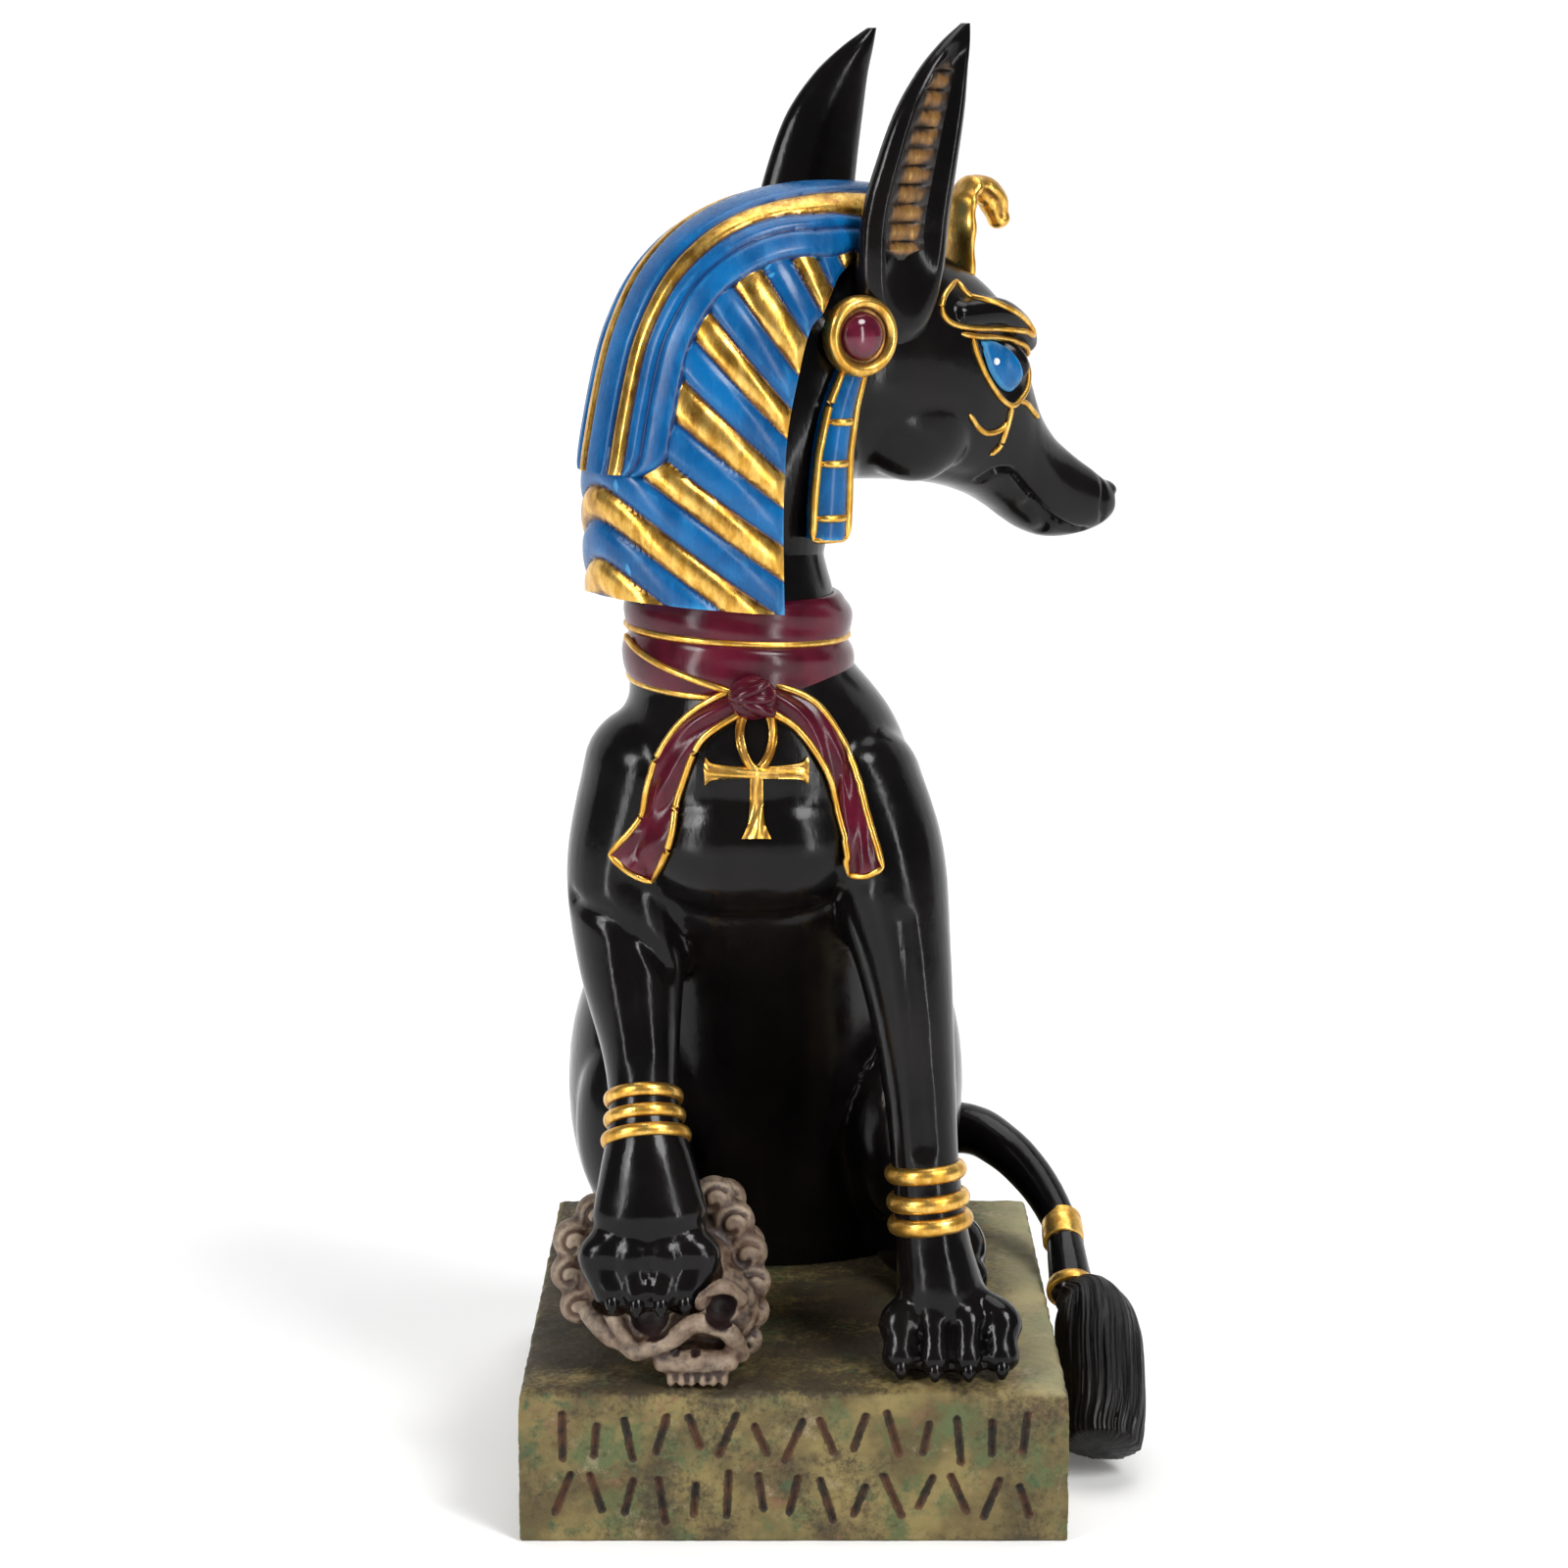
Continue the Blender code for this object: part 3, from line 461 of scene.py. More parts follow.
# The head, close to the solid's: (forward, top, underside, half width) along the muzzle.
HEAD_PROFILE = [
    (-25, 208, 192, 6), (-23, 214, 186, 11), (-18, 221, 180, 16), (-8, 226, 176.5, 20),
    (5, 226, 175.5, 20.5), (17, 221.5, 174, 18.5), (26, 216.5, 171.4, 15.5), (32, 210.5, 168.2, 13),
    (36, 201.5, 165.4, 11), (40, 191.3, 163, 9.6), (45, 184, 161.3, 8.4), (51, 179, 161.2, 7.4),
    (57, 175, 162.3, 6.4), (61, 171.8, 164.3, 4.6), (62.6, 169.6, 166.6, 2.0),
]
BROW = [  # forward, sideways, up, half width, half height
    (13, 16.2, 209.5, 3.2, 3.0), (23, 14.4, 209.8, 3.8, 3.2), (30.2, 11.0, 206.8, 3.8, 3.2),
    (34.6, 7.6, 203.6, 3.2, 3.0),
]
EYE_FORWARD = 25.6
EYE_RISE = 0.62
EYE_RADII = (6.4, 3.6, 4.8)
NOSE_RADII = (2.6, 4.0, 2.2)
CHEEK_RADII = (15, 8.4, 13)
EAR_TURN = radians(8)
EAR = [  # up, forward, sideways, half length, half thickness
    (198, -3.4, 11.5, 6.0, 2.6), (204, -3.3, 15.0, 7.4, 5.0), (210, -3.2, 17.4, 8.7, 6.4),
    (219, -2.8, 19.2, 10.4, 6.4), (230, -1.9, 20.0, 10.6, 6.0), (240, 0.3, 20.5, 9.8, 5.4),
    (250, 3.2, 20.5, 8.4, 4.7), (258, 6.6, 19.8, 6.0, 3.6), (263.5, 10.0, 18.8, 3.5, 2.4),
    (267.4, 13.0, 17.9, 1.0, 0.9),
]
# Lines on each side of the face, as (forward, z).
MOUTH = [
    (23.7, 174.9), (25.5, 176.6), (28.5, 176.9), (31.0, 175.8), (37.5, 170.1), (42.6, 166.2),
    (49.0, 163.2), (53.5, 162.4),
]
JOWL = [(36.5, 169.0), (39.5, 167.2), (41.6, 165.2), (42.4, 163.2)]
CHEEK = [(-6, 187.5), (0, 184.4), (7, 180.4), (14, 177.4), (20, 176.0)]
NOSE = [(57.6, 173.6), (56.9, 170.6), (56.4, 167.4), (57.4, 164.6)]
BROW_LINE = [
    (13.9, 216.6), (16.4, 213.4), (21.4, 211.8), (27.0, 209.6), (31.6, 207.0), (33.6, 204.9),
    (30.0, 205.9), (24.0, 206.6), (16.0, 207.0), (9.6, 208.2), (7.4, 210.8), (9.2, 213.8),
    (13.9, 216.6),
]
LID_LINE = [(11.9, 206.0), (17.0, 205.2), (22.5, 204.8), (29.0, 203.8), (33.0, 202.4), (35.6, 200.0)]
EYE_LINE = [
    (15.1, 205.0), (16.2, 201.6), (18.9, 197.0), (23.1, 192.7), (27.0, 190.7), (29.5, 191.6),
    (32.0, 193.4), (34.2, 196.6), (35.6, 200.0),
]
DROP_LINE = [(27.0, 190.7), (26.6, 188.5), (25.9, 185.5), (25.0, 182.4), (23.0, 180.6)]
CURL_LINE = [(14.8, 189.7), (17.5, 187.0), (20.6, 185.4), (24.1, 185.8), (26.2, 187.4)]
BRIDGE_LINE = [(29.5, 191.6), (32.0, 190.8), (34.8, 188.9), (37.0, 187.4)]
EYE_SHAPE = [
    (18.0, 204.4), (22.3, 204.2), (25.7, 202.6), (28.0, 199.8), (29.2, 197.0), (28.9, 194.4),
    (26.6, 193.6), (23.6, 194.7), (20.4, 197.9), (18.8, 201.5),
]
EYE_GLINT = (21.2, 200.0)
HEAD_GROOVES = [(MOUTH, 0.7, 1.2), (JOWL, 1.2, 0.6), (CHEEK, 2.6, 0.35), (NOSE, 0.7, 0.55)]


def head_rings(sides, per_span):
    rings = []
    for p, top, under, half in smooth_rows(HEAD_PROFILE, per_span):
        ring = []
        for a in circle(sides):
            across = copysign(abs(cos(a)) ** 0.85, cos(a))
            ring.append(head(p, half * across, (top + under) / 2 + (top - under) / 2 * sin(a)))
        rings.append(ring)
    return rings


def eye_place(sign):
    """The middle of an eye, on the side of the head's profile."""
    rows = np.array(HEAD_PROFILE)
    top, under, half = (np.interp(EYE_FORWARD, rows[:, 0], rows[:, k]) for k in (1, 2, 3))
    return head(EYE_FORWARD, sign * (half - 0.8 * EYE_RADII[1]), under + EYE_RISE * (top - under))


def build_head(black):
    """The head and neck, and the head's surface for the lines and eyes laid on it."""
    bm = bmesh.new()
    add_rings(bm, head_rings(72, 8))
    add_limb(bm, NECK[1:], sides=48)
    for rise in (-1.6, 1.2):
        add_ball(bm, head(60.4 + 0.5 * rise, 0, 169.2 + rise), NOSE_RADII, (0, 30, 30))
    for sign in (-1, 1):
        add_ball(bm, head(5, sign * 11.0, 189), CHEEK_RADII, (0, 20, 30))
        add_limb(bm, [(*head(p, sign * s, z), w, h) for p, s, z, w, h in BROW], side=S)
        add_ball(bm, eye_place(sign), EYE_RADII, (0, 20, 30 - sign * 18))
    made = grow_skin("jackal_head", bm, HEAD_VOXEL, HEAD_SMOOTHING)
    tree = tree_of(made)
    for sign in (-1, 1):
        for line, width, depth in HEAD_GROOVES:
            rows = smooth_rows(line, 4)
            press(made, [side_of(tree, p, z, sign)[0] for p, z in rows], width, depth)
        nostril = head(62.0, sign * 2.6, 168.6)
        press(made, [nostril, nostril + UP * 0.6], 0.9, 1.1)
        socket = [side_of(tree, p, z, sign)[0] for p, z in smooth_rows(EYE_SHAPE, 3)]
        press(made, socket, 1.3, 0.6)
    return finish(made, black), tree


def ear_outward(sign):
    """The way that an ear's hollow faces."""
    return S * sign * cos(EAR_TURN) + P * sin(EAR_TURN)


def ear_section(sign, z, p, s, half_length, half_thick, rise, a):
    """A point on an ear at angle a around it; the outer face is hollowed."""
    length_way = P * cos(EAR_TURN) - S * sign * sin(EAR_TURN)
    outward = ear_outward(sign)
    hollow = 0.85 * min(1, max(0, (rise - 0.14) / 0.26)) * min(1, (1 - rise) / 0.12)
    along, out = cos(a), sin(a)
    if out > 0:
        scoop = max(0.0, 1 - (along / 0.72) ** 2)
        out = out * (1 - 0.25 * hollow) - hollow * scoop
    return head(p, sign * s, z) + length_way * half_length * along + outward * half_thick * out


def build_ears(black):
    bm = bmesh.new()
    rows = smooth_rows(EAR, 10)
    low, high = rows[0][0], rows[-1][0]
    for sign in (-1, 1):
        rings = []
        for row in rows:
            rise = (row[0] - low) / (high - low)
            rings.append([ear_section(sign, *row, rise, a) for a in circle(EAR_SIDES)])
        add_rings(bm, rings)
    return finish(into_object("ears", bm), black, sharp=60)


EAR_SIDES = 64
RIB_STEP = 3.7  # between the ribs inside an ear
LINING_LOW, LINING_HIGH = 221.0, 261.5
LINING_WIDE, LINING_SHIFT = 0.52, 0.12  # its share of the ear's width, and its turn in radians


def build_ear_linings(paint):
    """The ribbed gold strip down the inside of each ear."""
    rows = smooth_rows(EAR, 40)
    low, high = rows[0][0], rows[-1][0]
    outer = [row for row in rows if LINING_LOW < row[0] < LINING_HIGH]
    bm = bmesh.new()
    numbers = []
    for sign in (-1, 1):
        outward = ear_outward(sign)
        rings = []
        for row in outer:
            z = row[0]
            rise = (z - low) / (high - low)
            fade = min(1, (z - LINING_LOW) / 2, (LINING_HIGH - z) / 3)
            rib = abs(sin(pi * (z - LINING_LOW) / RIB_STEP)) ** 0.6
            front, back = [], []
            for k in range(17):
                across = -1 + k / 8
                a = pi / 2 - asin(LINING_WIDE * across * max(fade, 0.2)) + LINING_SHIFT
                point = ear_section(sign, *row, rise, a)
                crown = (1 - across**4) * (0.25 + 0.85 * rib) * max(fade, 0)
                front.append(point + outward * crown)
                back.append(point - outward * 0.6)
            rings.append(front + back[::-1])
            worn = fade * (1.0 - 0.35 * rise) * (0.38 + 0.62 * rib)
            numbers += [worn * (1 - (k / 8 - 1) ** 4) for k in range(17)] + [0.0] * 17
        add_rings(bm, rings)
        numbers += [0.0] * 2
    obj = into_object("ear_linings", bm)
    add_number(obj.data, "rib", numbers)
    return finish(obj, paint, sharp=70)


# The headdress, with the solid's outline, a slightly wider crest, and finer rolls and bands on it.
FAN_AXIS = (-14.0, 205.0)
FAN = [  # turn in degrees, fall below the axis, reach of the edge and of the middle, half width
    (38, 0, 24.0, 37.5, 12.0), (56, 0, 21.0, 34.2, 13.0), (78, 0, 16.5, 30.4, 15.5),
    (100, 0, 13.5, 29.4, 18.5), (122, 0, 11.5, 31.0, 21.5), (146, 0, 11.0, 34.8, 23.5),
    (166, 0, 13.0, 38.6, 24.6), (178, 4, 15.0, 42.6, 25.0), (179, 16, 17.8, 45.6, 25.0),
    (178, 28, 18.8, 47.4, 25.0), (176, 41, 19.0, 47.4, 25.0), (174, 54.5, 18.8, 47.0, 25.0),
]
CREST_HALF = 15.0
CREST_RISE = 1.9
CREST_END = 26.5
CREST_WIDER = 0.34  # share that it gains over the crown
CREST_SHIFT = 1.6  # its middle line is this far to the head's right
CREST_GOLD = (3.4, 6.9)  # the gold band's edges from the middle line, at the lower end
CREST_GROOVE = 0.4  # where a groove runs between the gold band and the edge
CREST_CORNER = 7.0  # how high the rounding of its lower corners reaches
STRIPE_STEP = 14.4
STRIPE_GOLD = 0.48  # share of a step
STRIPE_SPARSE, STRIPE_SPARSER = 200.0, 0.67  # above that height the steps are longer
STRIPE_SLOPE = 0.75
STRIPE_STEEPER = 0.018  # the slope grows by this for each unit above the height below
STRIPE_BEND = 170.0
STRIPE_FRONT = -16.2  # where the slanting stripes are measured, forward of the turned head's middle
STRIPE_MIDDLE = 163.0  # the height of a gold stripe's middle there
STRIPE_FLAT = 6.0  # the stripes run level this far from the middle of the back
OFF_CREST = 2.0  # a share that is larger than any on the crest
CREST_WALL = 0.008  # radians between the crest's edge and the stripes beside it
UNPAINTED = (-3.0, 3.0)  # far from gold and from every groove
DRESS_STEPS = (16, 52, 72)  # rows in a span, points to each side and over the crest


def headdress_rows(per_span):
    rows = smooth_rows(FAN, per_span)
    step = 0.12
    for drop in (CREST_END - step, CREST_END + step):
        place = int(np.searchsorted(rows[:, 1], drop))
        share = (drop - rows[place - 1][1]) / (rows[place][1] - rows[place - 1][1])
        rows = np.insert(rows, place, rows[place - 1] * (1 - share) + rows[place] * share, axis=0)
    return rows


def crest_growth(turn):
    """From 0 at the crest's lower end to 1 over the crown."""
    return min(1.0, max(0.0, (176.0 - turn) / 70.0))


def crest_half(turn, drop):
    """Half the crest's width, which rounds in at its lower corners."""
    near = max(0.0, drop - (CREST_END - CREST_CORNER)) / CREST_CORNER
    return CREST_HALF * (1 + CREST_WIDER * crest_growth(turn)) * (1 - 0.30 * min(near, 1.0) ** 3)


def crest_edge(s, half):
    """The angle of the crest's edge, which nears the headdress's own edge but never reaches it."""
    share = s / half
    return asin(0.99 * share / (1 + share**10) ** 0.1)


def crest_paint(s, wide, turn):
    """On the crest: (how far inside gold, how far from a band's edge) for that distance sideways."""
    a, b = (edge * (1 + CREST_WIDER * crest_growth(turn)) for edge in CREST_GOLD)
    c = b + (wide - b) * CREST_GROOVE
    return min(s - a, b - s), min(abs(s - a), abs(s - b), abs(s - c), wide - s)


def stripe_paint(p, s, z):
    """On the slanting stripes: the same two distances."""
    out = cos(HEAD_TURN) * p + sin(HEAD_TURN) * hypot(s, STRIPE_FLAT) - STRIPE_FRONT
    level = z + STRIPE_SLOPE * out
    if level > STRIPE_BEND:
        level = (z + (STRIPE_SLOPE - STRIPE_STEEPER * STRIPE_BEND) * out) / (1 - STRIPE_STEEPER * out)
    if level > STRIPE_SPARSE:
        level = STRIPE_SPARSE + (level - STRIPE_SPARSE) * STRIPE_SPARSER
    away = (level - STRIPE_MIDDLE) / STRIPE_STEP
    away = abs(away - round(away))
    gold = (STRIPE_GOLD / 2 - away) * STRIPE_STEP * 0.8
    return gold, abs(gold)


def headdress_ring(row, side_steps, crest_steps):
    """One ring of the headdress, with the paint distances of each of its points."""
    turn, drop, edge, ridge, half = row
    a = radians(min(turn, 180.0))
    axis = Vector((FAN_AXIS[0], FAN_AXIS[1] - drop))
    out = Vector((cos(a), sin(a)))
    low, high = (crest_edge(CREST_SHIFT + way * crest_half(turn, drop), half) for way in (-1, 1))
    quarter = pi / 2
    spots = [(-quarter + (quarter + low) * k / side_steps, OFF_CREST) for k in range(side_steps)]
    spots.append((low - CREST_WALL, OFF_CREST))
    for k in range(crest_steps + 1):
        share = k / crest_steps
        spots.append((low + (high - low) * share, abs(2 * share - 1)))
    spots.append((high + CREST_WALL, OFF_CREST))
    for k in reversed(range(side_steps)):
        spots.append((quarter - (quarter - high) * k / side_steps, OFF_CREST))
    ring, paint = [], []
    for angle, share in spots:
        s = abs(half * sin(angle) - CREST_SHIFT)
        wide = abs(half * sin(high if angle > (low + high) / 2 else low) - CREST_SHIFT)
        reach = edge + (ridge - edge) * cos(angle)
        place = axis + out * reach
        if share <= 1 and drop <= CREST_END:
            gold, near = crest_paint(min(s, share * wide), wide, turn)
            near = min(near, (1 - share) * wide)
            lift = CREST_RISE * (1 - 0.25 * share**4) - 0.75 * exp(-((near / 0.55) ** 2))
        else:
            gold, near = stripe_paint(place.x, half * sin(angle), place.y)
            roll = 0.65 * (1 - exp(-((near / 1.3) ** 2)))
            lift = roll - 0.5 * exp(-((near / 0.5) ** 2))
        lift *= min(1.0, (quarter - abs(angle)) * half / 1.5)
        normal = Vector((cos(angle) / (ridge - edge), sin(angle) / half)).normalized()
        point = place + out * lift * normal.x
        ring.append(head(point.x, half * sin(angle) + lift * normal.y, point.y))
        paint.append((gold, near))
    for share in (0.5, 0.0, -0.5):
        point = axis + out * edge
        ring.append(head(point.x, half * share, point.y))
        paint.append(UNPAINTED)
    return ring, paint


def build_headdress(paint_material):
    rings, numbers = [], []
    per_span, side_steps, crest_steps = DRESS_STEPS
    for row in headdress_rows(per_span):
        ring, paint = headdress_ring(row, side_steps, crest_steps)
        rings.append(ring)
        numbers += paint
    bm = bmesh.new()
    add_rings(bm, rings)
    obj = into_object("headdress", bm)
    numbers += [UNPAINTED] * 2
    add_number(obj.data, "gold", [n[0] for n in numbers])
    add_number(obj.data, "edge", [n[1] for n in numbers])
    return finish(obj, paint_material, sharp=55)


EAR_DISC = (-13.6, 21.5, 206.4)
DISC_PROFILE = [  # radius, out
    (7.0, -2.6), (7.9, -1.0), (8.1, 0.6), (7.8, 1.8), (7.0, 2.5), (6.2, 2.4), (5.5, 1.7), (5.0, 0.9),
    (0.4, 0.9),
]
STONE_RADIUS, STONE_RISE = 4.85, 2.9
LAPPET = [  # from the ear disc: forward, outward, up, then half width
    (-0.2, -3.0, -6, 2.6), (-3.4, -2.6, -14, 3.3), (-5.4, -2.3, -23, 3.7), (-6.0, -2.3, -32, 4.1),
    (-6.3, -2.4, -40.1, 4.1),
]
LAPPET_BARS = (-16.8, -25.0, -35.8)
LAPPET_DEPTH = 3.5
COBRA = [  # forward, up, half width, half thickness
    (21.6, 207, 5.4, 2.6), (23.0, 216, 5.9, 2.1), (23.2, 226, 6.2, 1.9), (24.0, 232.6, 5.4, 2.0),
    (27.4, 235.0, 3.9, 2.5), (31.2, 232.8, 3.7, 3.0), (33.2, 228.4, 2.6, 2.3),
]


def disc_point(sign, radius, a, out):
    """A point round an ear disc's middle, at that radius and angle, and that far out of its face."""
    p, s, z = EAR_DISC
    return head(p + radius * cos(a), sign * (s + out), z + radius * sin(a))


def add_turned(bm, sign, profile):
    """A form turned about an ear disc's middle from (radius, out) pairs."""
    add_rings(bm, [[disc_point(sign, r, a, out) for a in circle(72)] for r, out in profile])


def build_ear_discs(gold, gem):
    rims, stones = bmesh.new(), bmesh.new()
    for sign in (-1, 1):
        add_turned(rims, sign, smooth_rows(DISC_PROFILE, 4))
        dome = [(STONE_RADIUS, 0.0)]
        for t in np.linspace(0, 1.52, 14):
            dome.append((STONE_RADIUS * cos(t), 0.8 + STONE_RISE * sin(t)))
        add_turned(stones, sign, dome)
    finish(into_object("ear_disc_rims", rims), gold)
    finish(into_object("ear_disc_stones", stones), gem, sharp=70)


def lappet_row(fall):
    """(forward, outward, half width) of a strap, that far below its ear disc."""
    rows = np.array(LAPPET)
    return [float(np.interp(-fall, -rows[:, 2], rows[:, k])) for k in (0, 1, 3)]


def build_lappets(blue, gold):
    panels, borders = bmesh.new(), bmesh.new()
    p0, s0, z0 = EAR_DISC
    for sign in (-1, 1):
        rows = [(*head(p0 + a, sign * (s0 + b), z0 + c), w, LAPPET_DEPTH) for a, b, c, w in LAPPET]
        add_limb(panels, rows, side=P, per_span=12, round_ends=(0, 0))
        edges = ([], [])
        for fall in np.linspace(LAPPET[0][2], LAPPET[-1][2], 40):
            forward, outward, half = lappet_row(fall)
            out = sign * (s0 + outward + 1.7)
            for way, line in zip((-1, 1), edges):
                line.append(head(p0 + forward + way * (half - 0.15), out, z0 + fall))
        for line in edges:
            add_tube(borders, line, 0.95)
        add_hem(borders, edges, S * sign * 0.9, 0.7)
        for fall in LAPPET_BARS:
            forward, outward, half = lappet_row(fall)
            bar = []
            for way in np.linspace(-1, 1, 13):
                bulge = 3.4 * sqrt(max(0.0, 1 - (0.88 * way) ** 2))
                out = sign * (s0 + outward + bulge)
                bar.append(head(p0 + forward + way * (half - 0.6), out, z0 + fall))
            add_tube(borders, bar, 0.8)
    finish(into_object("lappets", panels), blue)
    finish(into_object("lappet_borders", borders), gold)


def cobra_ribs(share, _):
    """How far the cobra swells at that share of its length; the ribs are fainter on its head."""
    return 0.22 * cos(52 * share) * (1 if share < 0.62 else 0.4)


def build_cobra(gold):
    """The small rearing cobra over the forehead, ribbed down its hood."""
    rows = [(*head(p, 0, z), w, t) for p, z, w, t in COBRA]
    bm = bmesh.new()
    add_limb(bm, rows, side=S, sides=40, per_span=16, swell=cobra_ribs)
    obj = into_object("cobra", bm)
    for s in (-1.6, 1.6):
        line = [head(p + 1.8, s, z) for p, z, w, t in COBRA[1:4]]
        press(obj, line, 0.5, 0.5)
    for s in (-3.2, 3.2):
        press(obj, [head(28.0, s, 233.6), head(31.6, s, 231.4), head(32.8, s, 229.4)], 1.3, 1.0)
    return finish(obj, gold, sharp=70)


def build_face_lines(gold, tree):
    """The raised gold outlines round the brows and eyes, and the marks under them."""
    bm = bmesh.new()
    for sign in (-1, 1):
        for line in (BROW_LINE, LID_LINE, EYE_LINE, DROP_LINE, CURL_LINE, BRIDGE_LINE):
            points = []
            for p, z in smooth_rows(line, 7):
                place, normal = side_of(tree, p, z, sign)
                points.append(place + normal * 0.1)
            add_tube(bm, points, LINE_RADIUS)
    return finish(into_object("face_lines", bm), gold)


PATCH_RINGS = 8


def add_patch(bm, tree, outline, sign, rise):
    """A thin raised patch of the head's side inside an outline of (forward, z)."""
    border = smooth_rows(outline + outline[:1], 6)[:-1]
    middle = border.mean(axis=0)
    made = []
    for k in range(PATCH_RINGS + 1):
        share = 1 - k / (PATCH_RINGS + 0.3)
        crown = rise * sqrt(max(0.0, 1 - share**2.2)) if k else -0.4
        ring = []
        for point in border:
            p, z = middle + (point - middle) * share
            place, normal = side_of(tree, p, z, sign)
            ring.append(place + normal * crown)
        made.append(ring)
    add_rings(bm, made)


def build_eyes(blue, white, tree):
    eyes, glints = bmesh.new(), bmesh.new()
    for sign in (-1, 1):
        add_patch(eyes, tree, EYE_SHAPE, sign, 0.7)
        place, normal = side_of(tree, *EYE_GLINT, sign)
        add_ball(glints, place + normal * 0.62, (0.75, 0.75, 0.75), fine=3)
    finish(into_object("eyes", eyes), blue, sharp=70)
    finish(into_object("eye_glints", glints), white)


SCARF_WRAPS = [  # place, radii, thickness out and up, tilt
    ((-11.3, -19.2, 150.0), (20.0, 20.8), (3.2, 5.0), (0, 3, 0)),
    ((-11.3, -19.6, 141.4), (20.2, 21.6), (3.4, 5.8), (2, 3, 0)),
]
KNOT = Vector((-8.2, -46.4, 136.6))
TRIM_RADIUS = 0.72
RIBBON_SINK = 1.4  # how far a band's underside lies inside the body
SCARF_ENDS = [  # x, z, half width
    [(-10, 136.2, 2.3), (-20, 129.2, 2.6), (-25.4, 118.4, 3.2), (-27.2, 110, 3.7), (-32.2, 101.2, 5.1)],
    [(-5.5, 136.3, 2.4), (2.6, 131.6, 2.7), (8.8, 122.0, 2.8), (12.2, 111, 2.9), (14.6, 101.8, 3.3)],
]


def folds(a, b):
    """Soft lengthwise folds in a wrap of the scarf."""
    return 0.28 * sin(3 * b + 2.1 * sin(a) + 0.6) + 0.18 * sin(5 * b - 3 * cos(a))


def wrap_line(wrap, b, lift):
    """A line round a wrap of the scarf, at angle b on its section."""
    return [hoop_point(wrap, a, b, lift) for a in circle(160)]


def add_ribbon(bm, tree, points, rise, per_span=10, across_steps=12):
    """A band laid on the chest through (x, z, half width). Gives its two edge lines."""
    rows = smooth_rows(points, per_span)
    rings = []
    edges = ([], [])
    for i, (x, z, half) in enumerate(rows):
        ahead, behind = rows[min(i + 1, len(rows) - 1)], rows[max(i - 1, 0)]
        along = Vector((ahead[0] - behind[0], 0, ahead[1] - behind[1])).normalized()
        across = Vector((-along.z, 0, along.x))
        outer, inner = [], []
        for k in range(across_steps + 1):
            share = -1 + 2 * k / across_steps
            spot = Vector((x, 0, z)) + across * half * share
            place, normal = front_of(tree, spot.x, spot.z)
            fold = 0.18 * sin(5 * share + 0.35 * i)
            crown = rise * (0.78 + 0.22 * cos(pi * share) + fold)
            outer.append(place + normal * crown)
            inner.append(place - normal * RIBBON_SINK)
        edges[0].append(outer[0])
        edges[1].append(outer[-1])
        rings.append(outer + inner[::-1])
    add_rings(bm, rings)
    return edges


def build_scarf(burgundy, gold, body_tree):
    """Two wraps, the knot and two hanging ends, all carved, with thin gold trim."""
    bm, trim = bmesh.new(), bmesh.new()
    for wrap in SCARF_WRAPS:
        rings = [[hoop_point(wrap, a, b, folds(a, b)) for b in circle(40)] for a in circle(144)]
        add_rings(bm, rings, closed=True)
    upper, lower = SCARF_WRAPS
    add_tube(trim, wrap_line(upper, radians(40), 0.1), 0.75, closed=True)
    add_tube(trim, wrap_line(lower, radians(58), 0.1), 0.75, closed=True)
    diagonal = []
    high, low = wrap_line(lower, radians(-38), 0.35), wrap_line(lower, radians(30), 0.35)
    for k in range(85, 120):
        share = (k - 85) / 34
        out = (high[k] - Vector(lower[0])).normalized()
        diagonal.append(high[k] * (1 - share) + low[k] * share + out * 0.3)
    add_tube(trim, diagonal, 0.7)
    add_ball(bm, KNOT, (4.8, 3.4, 4.4))
    for k in range(3):
        tilt = (0, -24 + 24 * k, 0)
        add_ball(bm, KNOT + Vector((0.6 * (k - 1), -0.9, 1.5 - 1.5 * k)), (4.5, 3.3, 1.7), tilt)
    for rows in SCARF_ENDS:
        edges = add_ribbon(bm, body_tree, rows, 1.9)
        for line in edges:
            add_tube(trim, line, TRIM_RADIUS)
        add_hem(trim, edges, Vector((0, -0.3, -0.8)), TRIM_RADIUS)
    finish(into_object("scarf", bm), burgundy, sharp=60)
    finish(into_object("scarf_trim", trim), gold)


ANKH_MIDDLE = (-7.4, 121.8)  # x and z of its crossing


def ankh_strokes():
    """Its loop, arms and stem as (x, z, half width)."""
    x, bar = ANKH_MIDDLE
    loop = []
    for k in range(33):
        a = 2 * pi * (k + 0.5) / 33
        pinch = 0.55 + 0.45 * sin(min(a, 2 * pi - a) / 2)
        loop.append((x + 3.7 * pinch * sin(a), bar + 6.6 - 6.0 * cos(a), 0.85))
    arms = [
        (x - 10, bar, 2.7),
        (x - 8, bar, 1.5),
        (x, bar, 1.1),
        (x + 8, bar, 1.5),
        (x + 10, bar, 2.7),
    ]
    stem = [(x, bar + 1, 1.2), (x, bar - 5, 1.3), (x, bar - 10, 1.7), (x, bar - 13, 3.0)]
    return loop, arms, stem


def build_ankh(gold, body_tree):
    bm = bmesh.new()
    loop, arms, stem = ankh_strokes()
    for stroke, steps in ((loop, 1), (arms, 8), (stem, 8)):
        add_ribbon(bm, body_tree, stroke, 1.35, per_span=steps, across_steps=8)
    return finish(into_object("ankh", bm), gold, sharp=60)


WRISTS = [  # leg, heights of the three rings, half of a ring's section out and up
    (LEFT_FORELEG, (38.8, 33.8, 28.8), (1.5, 1.8)),
    (RIGHT_FORELEG, (54.2, 50.6, 47.0), (1.0, 1.4)),
]


